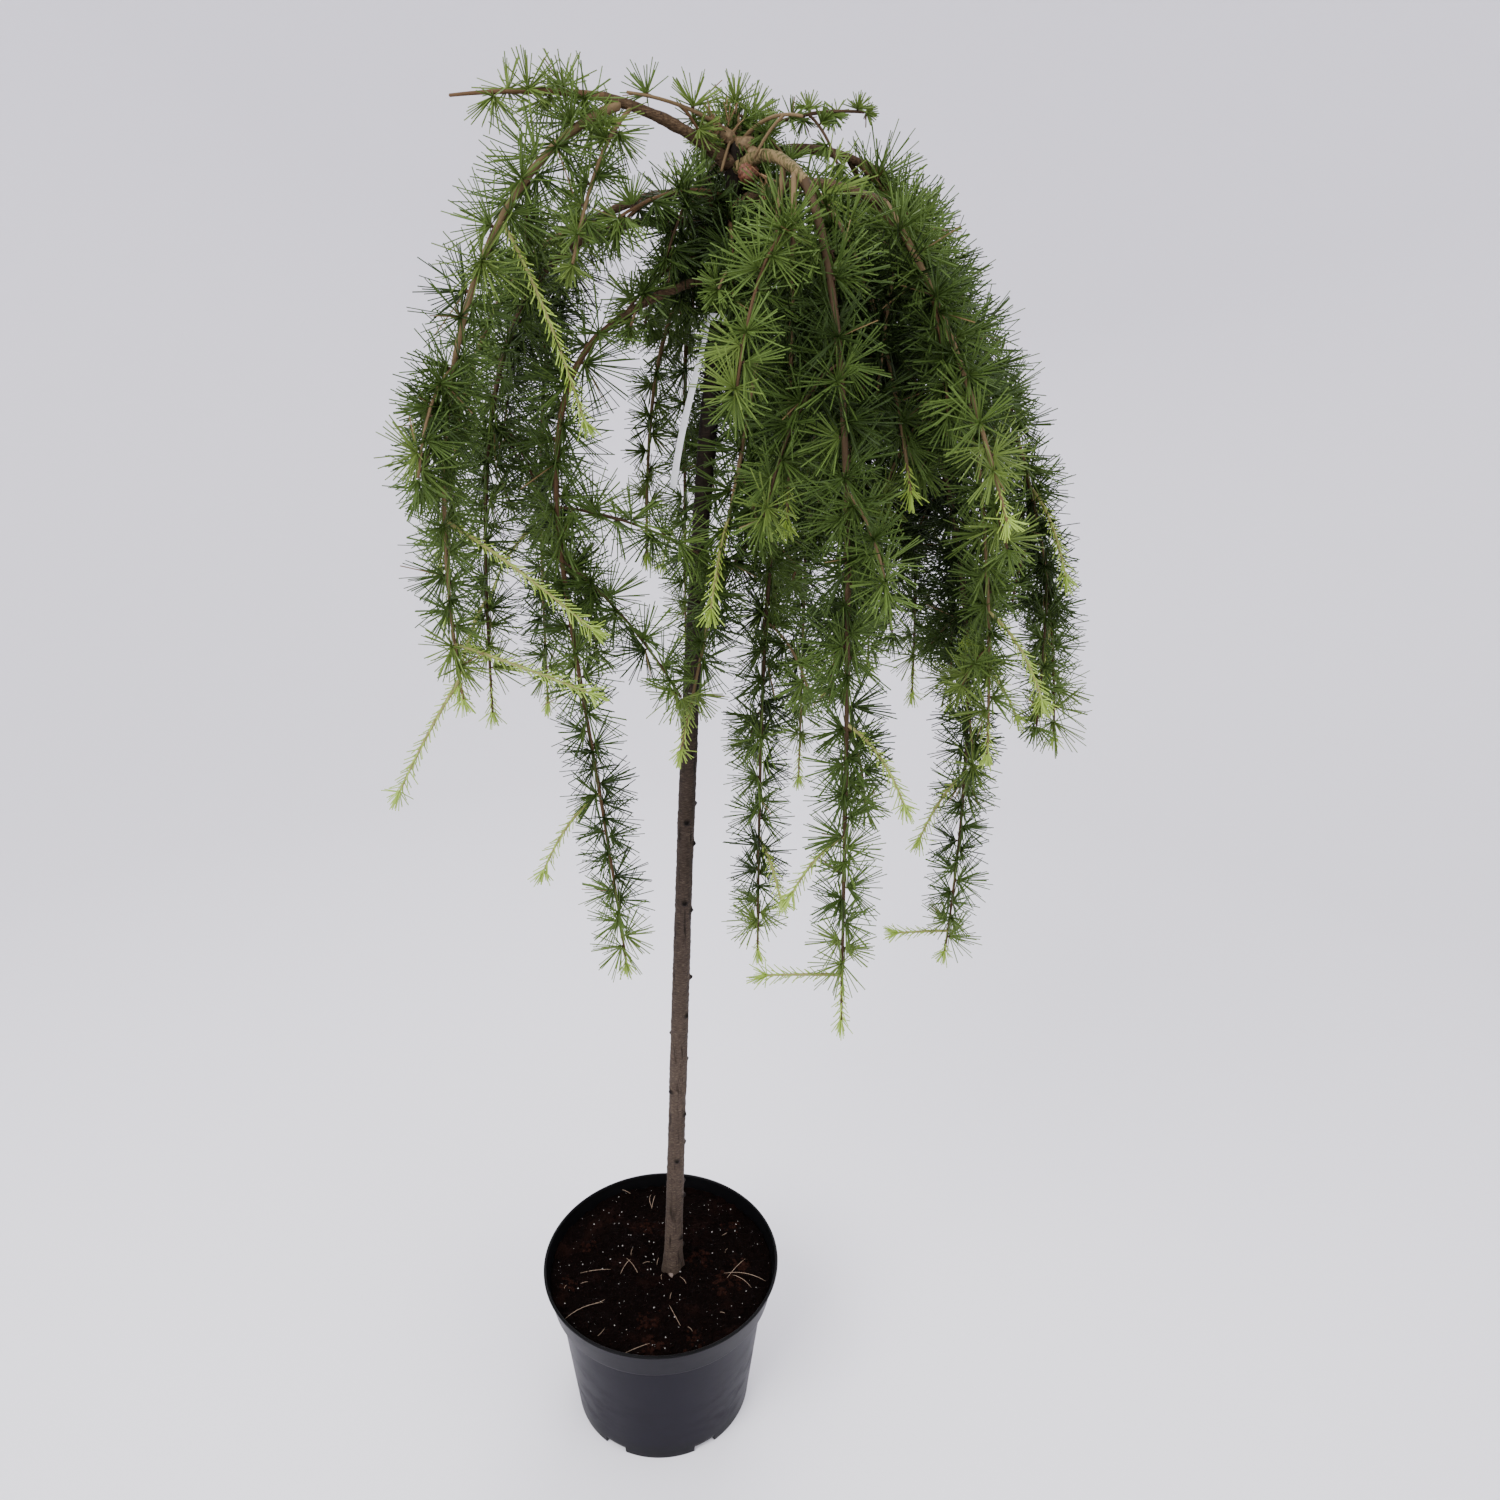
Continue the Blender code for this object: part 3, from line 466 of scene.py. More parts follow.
ledge = COLLAR_FOOT + COLLAR_STEP / 2
brim = COLLAR_FOOT_RADIUS + (RIM_RADIUS - COLLAR_FOOT_RADIUS) * (SOIL_LEVEL - ledge) / (POT_HEIGHT - ledge)
brim -= POT_WALL + SOIL_GAP
inset = POT_WALL + SOIL_GAP
side = [
    (0, POT_FLOOR + SOIL_GAP),
    (FOOT_RADIUS - inset, POT_FLOOR + SOIL_GAP),
    (SHOULDER_RADIUS - inset, COLLAR_FOOT - COLLAR_STEP),
    (COLLAR_FOOT_RADIUS - inset, ledge + SOIL_GAP),
]
top = np.linspace(brim, 0, SOIL_RINGS)
profile = np.vstack([side, np.column_stack([top, np.full(SOIL_RINGS, SOIL_LEVEL)])])
grid = turned(profile, np.arange(SOIL_COLUMNS) * math.tau / SOIL_COLUMNS)
grid[len(side):, :, 2] = soil_height(grid[len(side):, :, 0], grid[len(side):, :, 1])
peat_finish = peat()
add_piece("soil_top", *shell(grid), peat_finish, "peat", ["soil"])

sizes = rng.uniform(0.0013, 0.0042, CRUMBS) * rng.uniform(0.6, 1.1, CRUMBS)
crumbs = lumps(strewn(CRUMBS, sizes, 0.35), sizes)
crumb_finish = grainy("peat_crumbs", (0.0012, 0.0006, 0.0005), (0.0070, 0.0036, 0.0027), 300, 0.95, 0.0006, 0.02)
add_piece("soil_crumbs", *crumbs, crumb_finish, "peat", smooth=False)

sizes = 0.0004 + 0.0013 * rng.random(PERLITE_GRAINS) ** 2.5
perlite = grainy("perlite", (0.20, 0.19, 0.175), (0.60, 0.58, 0.55), 900, 0.8, 0.0002)
add_piece("perlite", *lumps(strewn(PERLITE_GRAINS, sizes, 0.2), sizes), perlite, "peat", smooth=False)

clods = Bundle()
for x, y, size in CLODS:
    parts = size * 0.001 * rng.uniform(0.12, 0.60, CLOD_PARTS)
    around = rng.normal(0, size * 0.00036, (CLOD_PARTS, 2)) + np.array([x, y]) * 0.001
    middles = np.column_stack([around, soil_height(around[:, 0], around[:, 1]) - parts * 0.10])
    clods.add(*lumps(middles, parts, 0.55))
rust = grainy("rusty_clods", (0.0050, 0.0018, 0.0012), (0.0165, 0.0068, 0.0047), 420, 0.95, 0.0010, 0.02)
clods.piece("soil_clods", rust, "peat", smooth=False)
pebble = np.array([[0.010, -0.012, 0]])
pebble[:, 2] = soil_height(pebble[:, 0], pebble[:, 1]) + 0.001
stone = grainy("pebble_stone", (0.085, 0.062, 0.050), (0.20, 0.155, 0.125), 500, 0.7, 0.0003)
add_piece("pebble", *lumps(pebble, np.array([0.0075])), stone, "peat")

straws = Bundle()
for x, y, azimuth, length, rise in STRAWS:
    straws.add(*straw_tube(x / 1000, y / 1000, math.radians(azimuth), length / 1000, rise / 1000, 0.00023))
for x, y, _ in strewn(STRAY_STRAWS, np.zeros(STRAY_STRAWS), 0):
    straws.add(*straw_tube(x * 0.9, y * 0.9, rng.uniform(0, math.pi), rng.uniform(0.004, 0.012), 0.0006, 0.0002))
straw_finish = grainy("dry_straw", (0.130, 0.085, 0.058), (0.360, 0.270, 0.190), 260, 0.6, 0.0002)
straws.piece("straws", straw_finish, "peat")


# The stem is a slim straight rootstock with grey-brown, finely ringed bark, darker upward
# partly in its own colour and partly as painted shade under the head.
# It flares at the soil, bears the stubs of rubbed-off buds, leans to the right and thickens at
# the graft, where the head was set on.
HEAD_HEIGHT = 1.143
STEM_FOOT_X = 0.011
STEM_LEAN = 0.033
STEM_BEND = 0.024
STEM_RADIUS = 0.0078
NECK_RADIUS = 0.0062
FLARE = 0.0022
FLARE_HEIGHT = 0.020
GRAFT_BULGE = 0.0022
GRAFT_LENGTH = 0.014
GRAFT_DROP = 0.006
STEM_GAP = 0.0003
STEM_COLUMNS = 44
STEM_ROW = 0.0014
# The stubs of buds: height, azimuth in degrees (270 faces front) and how far each stands out.
STUBS = (
    (0.706, 195, 0.0026), (0.686, 345, 0.0022), (0.646, 185, 0.0028), (0.625, 250, 0.0020),
    (0.618, 350, 0.0026), (0.570, 190, 0.0024), (0.561, 255, 0.0016), (0.492, 275, 0.0026),
    (0.430, 60, 0.0024), (0.372, 130, 0.0020), (0.294, 190, 0.0022), (0.262, 290, 0.0020),
    (0.247, 265, 0.0022), (0.335, 350, 0.0014), (0.780, 30, 0.0024), (0.842, 160, 0.0024),
    (0.905, 330, 0.0022), (0.962, 215, 0.0024), (1.010, 80, 0.0022), (0.530, 330, 0.0022),
    (0.455, 230, 0.0018), (0.402, 305, 0.0022), (0.345, 245, 0.0016), (0.660, 290, 0.0016),
    (0.220, 310, 0.0020), (0.198, 235, 0.0022), (0.183, 285, 0.0016), (0.310, 275, 0.0014),
)
STUB_SPREAD = 0.0024
BARK_THICKNESS = 0.0005


def stem_centre(height):
    """The stem's centre line: it leans evenly to the right, and bends over by the fifth power
    of its rise."""
    rise = (height - SOIL_LEVEL) / (HEAD_HEIGHT - SOIL_LEVEL)
    return np.stack([STEM_FOOT_X + STEM_LEAN * rise + STEM_BEND * rise**5, 0 * rise, height + 0 * rise], -1)


def stem_heading(height):
    return unit(stem_centre(height + 0.001) - stem_centre(height - 0.001))


def stem_radius(height):
    """An even taper, a root flare that dies away upward and a bell-shaped graft swelling."""
    rise = (height - SOIL_LEVEL) / (HEAD_HEIGHT - SOIL_LEVEL)
    taper = STEM_RADIUS + (NECK_RADIUS - STEM_RADIUS) * rise
    flare = FLARE * np.exp(-(height - SOIL_LEVEL) / FLARE_HEIGHT)
    return taper + flare + GRAFT_BULGE * np.exp(-(((HEAD_HEIGHT - GRAFT_DROP - height) / GRAFT_LENGTH) ** 2))


def bark_finish(name, old, young, scale, low, high):
    """Bark in fine level rings: three shades of old bark, and three of young bark that take over
    from the height low to the height high, with fine upright cracks. On the stem the young shades
    are far darker, partly as painted shade under the head. Where the tone is above 0, it is
    striped in tan and pale green, and where it is below 0, dark as a knot."""
    made, tree, surface = new_material(name, 0.82, 0.15)
    ringed, place = object_place(tree, (1, 1, 4.5)), object_place(tree)
    fine, broad = speckle(tree, ringed, scale, 7, 0.7), speckle(tree, place, scale / 7, 3)
    shades = []
    for dark, middle, light in (old, young):
        base = blend(tree, scaled(tree, fine, 0.32, 0.52), dark, middle)
        shades.append(blend(tree, scaled(tree, fine, 0.54, 0.74), base, light))
    # Upward the young shades take over; on the stem they are partly painted shade under the head.
    colour = blend(tree, scaled(tree, height_above(tree), low, high), *shades)
    colour = blend(tree, scaled(tree, broad, 0.35, 0.75, 0.0, 0.45), colour, shades[1])
    stripes = scaled(tree, speckle(tree, object_place(tree, (1, 1, 0.25)), scale * 1.6, 2), 0.42, 0.58)
    striped = blend(tree, stripes, (0.065, 0.062, 0.020), (0.210, 0.150, 0.072))
    cracks = speckle(tree, object_place(tree, (1, 1, 0.10)), scale * 1.3, 4, 0.6)
    cracked = blend(tree, scaled(tree, cracks, 0.43, 0.32, 0, 0.85), colour, young[0])
    knotted = blend(tree, scaled(tree, tone_of(tree), -0.15, -0.75), cracked, young[0])
    tree.links.new(blend(tree, tone_of(tree), knotted, striped), surface.inputs["Base Color"])
    tree.links.new(scaled(tree, fine, 0.3, 0.8, 0.70, 0.95), surface.inputs["Roughness"])
    bumpy(tree, surface, fine, 0.8, 0.0006)
    return made


heights = np.arange(SOIL_LEVEL - 0.004, HEAD_HEIGHT, STEM_ROW)
turns = np.arange(STEM_COLUMNS) * math.tau / STEM_COLUMNS
radii = stem_radius(np.maximum(heights, SOIL_LEVEL))[:, None] + 0 * turns
skin = np.stack([radii * np.cos(turns), radii * np.sin(turns), heights[:, None] + 0 * turns], -1)
relief = 0.00034 * noise(skin, 0.020, 11) + 0.00022 * noise(skin * (1, 1, 3), 0.009, 12)
relief += 0.00030 * np.maximum(noise(skin * (1, 1, 5), 0.007, 13), 0) ** 2
relief += 0.00012 * noise(skin * (1, 1, 2), 0.0022, 14)
flare = np.exp(-np.maximum(heights[:, None] - SOIL_LEVEL, 0) / 0.012)
relief += 0.0011 * flare * np.sin(4 * turns + 0.8) + 0.0006 * flare * np.sin(7 * turns)
knots = np.zeros(radii.shape)
for height, azimuth, rise in STUBS:
    aside = (turns - math.radians(azimuth) + math.pi) % math.tau - math.pi
    away = (heights[:, None] - height) ** 2 + (aside * STEM_RADIUS) ** 2
    relief += rise * np.exp(-away / STUB_SPREAD**2) * (1 + 0.35 * np.cos(away**0.5 / 0.0009))
    knots -= np.exp(-away / (1.25 * STUB_SPREAD) ** 2)
relief += BARK_THICKNESS * np.clip((0.75 - heights[:, None]) / 0.3, 0, 1)
radii = radii + relief
points = stem_centre(heights)
directions = stem_heading(heights)
crown = directions[-1]
points = np.vstack([points, points[-1] + crown * np.array([[0.0022], [0.0036], [0.0044]])])
directions = np.vstack([directions, [crown] * 3])
radii = np.vstack([radii, radii[-1] * 0.86, radii[-1] * 0.60, radii[-1] * 0.25])
# The second set of shades, for the upper stem, is far darker: partly the bark's own colour and partly painted shade
# under the head.
bark = bark_finish(
    "stem_bark",
    ((0.017, 0.012, 0.0085), (0.060, 0.043, 0.031), (0.150, 0.115, 0.089)),
    ((0.0035, 0.0020, 0.0010), (0.0100, 0.0062, 0.0035), (0.0240, 0.0160, 0.0095)),
    260, 0.50, 1.00,
)
verts, faces = tube(points, directions, radii, STEM_COLUMNS)
knots = np.concatenate([[0], knots.ravel(), np.zeros(len(verts) - knots.size - 1)])
add_piece("stem", verts, faces, bark, "bark", ["trunk"], tone=knots)


# The boughs are the head's main limbs, twelve of them, which arch out of the graft and bear
# the strands at their ends. Their bark is brown and scarred, and young and striped in tan and
# green on the one in front.
BOUGH_ROW = 0.0016
BOUGH_COLUMNS = 18


class Limb(NamedTuple):
    """A drooping limb. Angles are in degrees: the azimuth is from +X round to +Y, and the
    start and hang angles are from straight down. The limb sets off at its start angle and
    nears its hang angle over its droop length, while its heading swerves evenly."""

    azimuth: float
    start: float
    droop: float
    hang: float
    length: float
    swerve: float = 0


# Each bough's height on the stem, foot radius, tip radius and limb.
BOUGHS = {
    "crest": (1.132, 0.0042, 0.0030, Limb(200, 125, 0.25, 40, 0.09)),
    "left": (1.090, 0.0032, 0.0026, Limb(185, 110, 0.14, 20, 0.09)),
    "left_front": (1.060, 0.0030, 0.0024, Limb(235, 90, 0.15, 10, 0.09, -60)),
    "left_back": (1.082, 0.0026, 0.0022, Limb(110, 110, 0.08, 5, 0.07)),
    "front": (1.130, 0.0042, 0.0032, Limb(300, 115, 0.08, 20, 0.08)),
    "right_front": (1.108, 0.0036, 0.0028, Limb(330, 120, 0.12, 30, 0.11)),
    "right": (1.135, 0.0038, 0.0028, Limb(25, 117, 0.12, 35, 0.10)),
    "right_low": (1.088, 0.0032, 0.0026, Limb(0, 100, 0.10, 20, 0.08)),
    "centre_back": (1.075, 0.0026, 0.0022, Limb(65, 105, 0.06, 5, 0.06)),
    "back": (1.125, 0.0034, 0.0028, Limb(105, 115, 0.12, 30, 0.10)),
    "back_left": (1.108, 0.0032, 0.0026, Limb(150, 110, 0.14, 30, 0.11)),
    "back_right": (1.103, 0.0032, 0.0026, Limb(55, 110, 0.12, 30, 0.11)),
}


def direction(azimuth, from_down):
    """The unit vector at an azimuth and at an angle from straight down, in degrees."""
    azimuth, from_down = np.radians(azimuth), np.radians(from_down)
    level = np.sin(from_down)
    parts = (level * np.cos(azimuth), level * np.sin(azimuth), -np.cos(from_down))
    return np.stack(np.broadcast_arrays(*parts), axis=-1)


def limb_path(foot, limb, step):
    """The points along a limb, and the heading at each: the angle from straight down nears
    its hang by an exponential of the way along."""
    count = max(2, round(limb.length / step))
    along = (np.arange(count) + 0.5) * limb.length / count
    angle = limb.hang + (limb.start - limb.hang) * np.exp(-along / limb.droop)
    ways = direction(limb.azimuth + limb.swerve * along / limb.length, angle)
    points = foot + np.cumsum(ways * limb.length / count, axis=0)
    return np.vstack([[foot], points]), np.vstack([ways, ways[-1:]])


boughs = {}
limbs, tones = Bundle(), []
for number, (name, (height, foot_radius, tip_radius, limb)) in enumerate(BOUGHS.items()):
    axis = stem_heading(height)
    level = direction(limb.azimuth, 90)
    outward = unit(level - axis * (level @ axis))
    seat = stem_centre(height) + outward * stem_radius(height)
    points, ways = limb_path(seat, limb, BOUGH_ROW)
    boughs[name] = (points, ways, foot_radius, tip_radius)
    along = np.arange(len(points)) * BOUGH_ROW
    turns = np.arange(BOUGH_COLUMNS) * math.tau / BOUGH_COLUMNS
    taper = np.linspace(foot_radius, tip_radius, len(points)) * (1 + 0.5 * np.exp(-along / 0.005))
    skin = np.stack([taper[:, None] * np.cos(turns), taper[:, None] * np.sin(turns), along[:, None] + 0 * turns], -1)
    skin = skin + (0, 0, number)
    bumps = 0.00035 * noise(skin, 0.006, 21) + 0.00022 * noise(skin * (1, 1, 3), 0.003, 22)
    knobs = 0.0009 * np.maximum(noise(skin, 0.010, 23), 0) ** 2
    radii = taper[:, None] + bumps + knobs
    points = np.vstack([seat - outward * stem_radius(height) * 0.6, points])
    verts, faces = tube(points, np.vstack([ways[:1], ways]), np.vstack([radii[:1], radii]), BOUGH_COLUMNS)
    limbs.add(verts, faces)
    tones.append(np.full(len(verts), 0.85 if name == "front" else 0.0))
brown = ((0.018, 0.010, 0.005), (0.068, 0.042, 0.022), (0.175, 0.120, 0.070))
bough_bark = bark_finish("bough_bark", brown, brown, 330, 0.0, 1.0)
add_piece(
    "boughs", np.vstack(limbs.verts), np.vstack(limbs.faces), bough_bark, "bark",
    [f"bough_{name}" for name in BOUGHS], tone=np.concatenate(tones),
)


# The graft itself: a swollen tan callus over the top of the stem, a brown bud like a small cone
# beside it, and a few dry needles caught under both.
CALLUS_ROWS = 22
CALLUS_COLUMNS = 28
BUD_SCALES = 8
# The dry needles: how many, and where from the stem's top they start and point.
DRY_GROUPS = (
    (34, (0.016, -0.013, -0.024), (0.35, -0.25, -0.9)),
    (20, (-0.012, -0.004, 0.006), (-0.25, -0.15, 0.9)),
)


def callus(middle, axis, length, radius, seed):
    """A swollen lump: a ball drawn out along its axis, with knuckles of smooth noise."""
    part = np.linspace(0, math.pi, CALLUS_ROWS)
    turns = np.arange(CALLUS_COLUMNS) * math.tau / CALLUS_COLUMNS
    across = square_to(axis)
    other = np.cross(axis, across)
    ring = across * np.cos(turns)[:, None] + other * np.sin(turns)[:, None]
    grid = ring[None] * (np.sin(part) * radius)[:, None, None] - axis * (np.cos(part) * length / 2)[:, None, None]
    swell = 1 + 0.22 * noise(grid + seed, 0.006, 31) + 0.08 * noise(grid + seed, 0.0022, 32)
    return shell(middle + grid * swell[..., None])


def cone_bud(foot, axis, length, radius):
    """A bud like a small cone: an egg outline, with scales raised where two spirals cross."""
    part = np.linspace(0, 1, 30)
    turns = np.arange(40) * math.tau / 40
    outline = radius * np.sin(math.pi * part**0.8) ** 0.7
    spiral = np.abs(np.sin(BUD_SCALES / 2 * turns + 14 * part[:, None])) * np.abs(
        np.sin(BUD_SCALES / 2 * turns - 14 * part[:, None])
    )
    across = square_to(axis)
    ring = across * np.cos(turns)[:, None] + np.cross(axis, across) * np.sin(turns)[:, None]
    reach = outline[:, None] * (0.86 + 0.22 * spiral)
    return shell(foot + ring[None] * reach[..., None] + axis * (part * length)[:, None, None])


def needle_shapes(roots, ways, lengths, widths, bends):
    """Needles as closed three-sided prisms: a small triangle round the root and another round
    the tip, four fifths as wide. The tip is bent sideways by a part of the length."""
    across = square_to(ways)
    roll = rng.uniform(0, math.tau, len(roots))[:, None]
    across = across * np.cos(roll) + np.cross(ways, across) * np.sin(roll)
    other = np.cross(ways, across)
    tips = roots + (ways + across * bends[:, None]) * lengths[:, None]
    turns = np.arange(3) * math.tau / 3
    ring = across[:, None] * np.cos(turns)[:, None] + other[:, None] * np.sin(turns)[:, None]
    ring = ring * (widths * 0.56)[:, None, None]
    verts = np.concatenate([roots[:, None] + ring, tips[:, None] + ring * 0.8], 1).reshape(-1, 3)
    one = np.array([(0, 2, 1), (0, 1, 4), (0, 4, 3), (1, 2, 5), (1, 5, 4), (2, 0, 3), (2, 3, 5), (3, 4, 5)])
    return verts, (one + 6 * np.arange(len(roots))[:, None, None]).reshape(-1, 3)


graft = Bundle()
top = stem_centre(HEAD_HEIGHT)
graft.add(*callus(top + (0.002, -0.003, 0.000), unit(np.array([0.75, -0.45, 0.35])), 0.017, 0.0062, 0.0))
graft.add(*callus(top + (-0.008, -0.003, 0.005), unit(np.array([-0.6, -0.3, 0.6])), 0.014, 0.0046, 1.0))
graft.add(*callus(top + (0.009, -0.009, -0.006), unit(np.array([0.75, -0.55, 0.1])), 0.014, 0.0052, 2.0))
callus_finish = grainy("callus", (0.058, 0.037, 0.017), (0.225, 0.152, 0.075), 300, 0.75, 0.0005)
graft.piece("graft_callus", callus_finish, "bark")
bud_middle = top + (0.0055, -0.0160, -0.0180)
bud_heading = unit(np.array([0.2, -0.8, -0.45]))
bud = cone_bud(bud_middle - bud_heading * 0.0065, bud_heading, 0.013, 0.0068)
bud_finish = grainy("bud_scales", (0.060, 0.020, 0.011), (0.190, 0.078, 0.040), 420, 0.55, 0.0004)
add_piece("cone_bud", *bud, bud_finish, "bark")
caught = []
for count, foot, heading in DRY_GROUPS:
    roots = top + np.array(foot) + rng.normal(0, 0.004, (count, 3))
    ways = unit(np.array(heading) + rng.normal(0, 0.35, (count, 3)))
    caught.append((roots, ways, rng.uniform(0.010, 0.024, count)))
roots, ways, lengths = (np.concatenate(column) for column in zip(*caught))
widths, bends = np.full(len(roots), 0.0008), rng.normal(0, 0.15, len(roots))
dry_finish = grainy("dry_needle", (0.125, 0.066, 0.028), (0.300, 0.190, 0.090), 260, 0.6, 0.0002)
add_piece("dry_needles", *needle_shapes(roots, ways, lengths, widths, bends), dry_finish, "needles", smooth=False)


# The strands are the long hanging twigs, one main stem to each, with side twigs in their upper
# part. They are slim and reddish brown, and carry a short woody spur for every tuft of needles.
TWIG_ROW = 0.007
TWIG_TIP = 0.0010
TWIG_GIRTH = 1.25
ROOT_TAPER = 0.035
SIDE_TWIG_FOOT = 0.0011
FOOT_SPACING = 0.009
CROWN_UPRIGHT = 150
CROWN_FOOT_RADIUS = 0.004
GOLDEN_ANGLE = 137.5
TUFT_SPACING = 0.0102
BARE_FOOT = 0.010
NEEDLE_REACH = 0.040
SHORT_REACH = 0.032
REACH_TAPER = 0.33
SPUR_HEIGHT = 0.0022
LONG_STRAND = 0.15
SHOOT_TAILS = (0.012, 0.042)
EDGE_ROOM = 0.022
BUD_ROOM = 0.030
BARE_TIPS = {"crest_tip": 0.022}
LONG_TAILS = {
    "front_long": 0.045, "front_inner": 0.045, "left_inner": 0.014, "centre_long": 0.016, "right_long": 0.014,
}
BARE_FEET = {"front_long": 0.050, "front_short": 0.030, "front_side": 0.020, "left_hang": 0.035}
THICK_ROOTS = {"left_outer": 0.0034}
STRAND_SHADES = {
    "front_long": 0, "left_hang": 0, "front_short": 2, "front_side": 2, "left_outer": 2, "right_front": 2,
}
LOW_REACHES = {
    "crown_right": 0.017, "crown_front": 0.022, "crown_crest": 0.027, "crown_back": 0.027, "left_rear": 0.027,
    "crest_low": 0.027, "right_outer": 0.031, "crown_top": 0.036,
}
END_REACHES = {"right_outer": 0.034}
UPRIGHT = ("crown_crest", "crown_front")
SIDE_GROWTH = {
    "left_hang": (0.3, 0.66), "left_inner": (0.35, 0.60), "left_rear": (0, 0.66), "left_outer": (0.5, 0.60),
    "crest_low": (0, 1.0), "crown_crest": (0.3, 1.0), "crown_left": (0.6, 1.0), "crown_right": (0.4, 1.0),
    "back_left_outer": (0.45, 0.70), "back_left_hang": (0.5, 0.70), "front_inner": (0.6, 0.60),
    "back_hang": (0.6, 0.66), "crown_top": (7.0, 1.0),
    "right_rear": (1.6, 0.85), "right_inner": (1.6, 0.85), "right_middle": (1.3, 0.85),
    "right_front_low": (1.2, 0.85), "back_right_outer": (1.4, 0.80), "back_right_hang": (1.3, 0.70),
}

# Each strand's or short growth's carrier (a bough, the head, or a height on the stem), its foot
# radius and its limb.
MASSES = {
    "crest_tip": ("crest", 0.0022, Limb(192, 95, 0.20, 60, 0.095)),
    "left_outer": ("crest", 0.0022, Limb(207, 70, 0.18, -12, 0.43)),
    "crest_low": ("crest", 0.0016, Limb(232, 55, 0.06, 12, 0.11)),
    "left_hang": ("left", 0.0018, Limb(185, 70, 0.08, 0, 0.37)),
    "left_inner": ("left_front", 0.0018, Limb(200, 60, 0.06, -8, 0.50, -60)),
    "left_rear": ("left_back", 0.0014, Limb(180, 40, 0.06, 0, 0.22)),
    "front_long": ("front", 0.0020, Limb(290, 50, 0.09, 2, 0.58, 20)),
    "front_short": ("front", 0.0016, Limb(268, 55, 0.05, 0, 0.22)),
    "front_side": ("front", 0.0016, Limb(328, 55, 0.08, 8, 0.22, 40)),
    "front_inner": ("front", 0.0016, Limb(195, 5, 0.15, 13, 0.40)),
    "right_front": ("right_front", 0.0020, Limb(312, 45, 0.14, 18, 0.22)),
    "right_front_low": ("right_front", 0.0016, Limb(350, 50, 0.12, 2, 0.40)),
    "right_outer": ("right", 0.0020, Limb(8, 48, 0.45, -18, 0.48, -25)),
    "right_middle": ("right", 0.0016, Limb(-5, 50, 0.10, 2, 0.42)),
    "right_rear": ("right", 0.0016, Limb(60, 65, 0.08, 0, 0.42)),
    "right_long": ("right_low", 0.0020, Limb(0, 45, 0.22, -7, 0.57, -30)),
    "centre_long": ("right_low", 0.0016, Limb(215, 30, 0.12, -1, 0.54)),
    "right_inner": ("right_low", 0.0016, Limb(60, 60, 0.08, 0, 0.36)),
    "centre_rear": ("centre_back", 0.0014, Limb(60, 30, 0.08, 0, 0.26)),
    "back_hang": ("back", 0.0018, Limb(100, 70, 0.08, 0, 0.40)),
    "back_inner": ("back", 0.0014, Limb(30, 50, 0.06, 0, 0.30)),
    "back_outer": ("back", 0.0018, Limb(60, 75, 0.10, 0, 0.36)),
    "back_left_outer": ("back_left", 0.0018, Limb(168, 80, 0.12, 0, 0.36)),
    "back_left_hang": ("back_left", 0.0018, Limb(135, 75, 0.09, 0, 0.44)),
    "back_right_outer": ("back_right", 0.0018, Limb(35, 75, 0.12, 0, 0.44)),
    "back_right_hang": ("back_right", 0.0018, Limb(80, 60, 0.08, 0, 0.50)),
    "crown_top": ("head", 0.0014, Limb(120, 165, 0.10, 120, 0.022)),
    "crown_crest": ("head", 0.0016, Limb(205, 122, 0.12, 60, 0.080)),
    "crown_right": ("head", 0.0016, Limb(20, 122, 0.12, 60, 0.090)),
    "crown_front": ("head", 0.0016, Limb(300, 116, 0.10, 40, 0.070)),
    "crown_back": ("head", 0.0016, Limb(108, 118, 0.10, 50, 0.080)),
    "crown_left": (1.112, 0.0016, Limb(218, 105, 0.08, 40, 0.090)),
    "crown_left_low": (1.074, 0.0016, Limb(210, 100, 0.06, 20, 0.080)),
    "crown_front_low": (1.095, 0.0016, Limb(272, 95, 0.05, 10, 0.080)),
    "crown_right_low": (1.113, 0.0016, Limb(0, 110, 0.08, 30, 0.090)),
    "crown_back_left": (1.074, 0.0016, Limb(150, 100, 0.05, 10, 0.080)),
    "crown_back_right": (1.119, 0.0016, Limb(62, 105, 0.08, 40, 0.080)),
}

# Side twigs that show plainly: the strand, how far along it, the reach of its needles and the
# limb.
SIDE_TWIGS = (
    ("left_outer", 0.50, 0.034, Limb(215, 30, 0.08, 5, 0.070)),
    ("left_inner", 0.27, 0.034, Limb(350, 88, 0.15, 40, 0.105)),
    ("left_inner", 0.345, 0.034, Limb(340, 60, 0.12, 20, 0.13)),
    ("right_outer", 0.42, 0.034, Limb(330, 50, 0.10, 5, 0.14)),
    ("right_outer", 0.58, 0.030, Limb(210, 45, 0.10, 0, 0.13)),
    ("right_outer", 0.66, 0.028, Limb(40, 40, 0.06, -10, 0.10)),
    ("right_outer", 0.50, 0.032, Limb(60, 60, 0.08, 0, 0.15)),
    ("right_outer", 0.72, 0.028, Limb(260, 50, 0.06, 0, 0.12)),
    ("crown_left", 0.10, 0.032, Limb(190, 12, 0.06, 0, 0.055)),
    ("crown_left", 0.40, 0.030, Limb(215, 30, 0.06, 15, 0.045)),
    ("crown_back_right", 0.15, 0.034, Limb(180, 28, 0.05, 0, 0.080)),
    ("crown_back_right", 0.10, 0.034, Limb(20, 8, 0.05, 0, 0.065)),
)


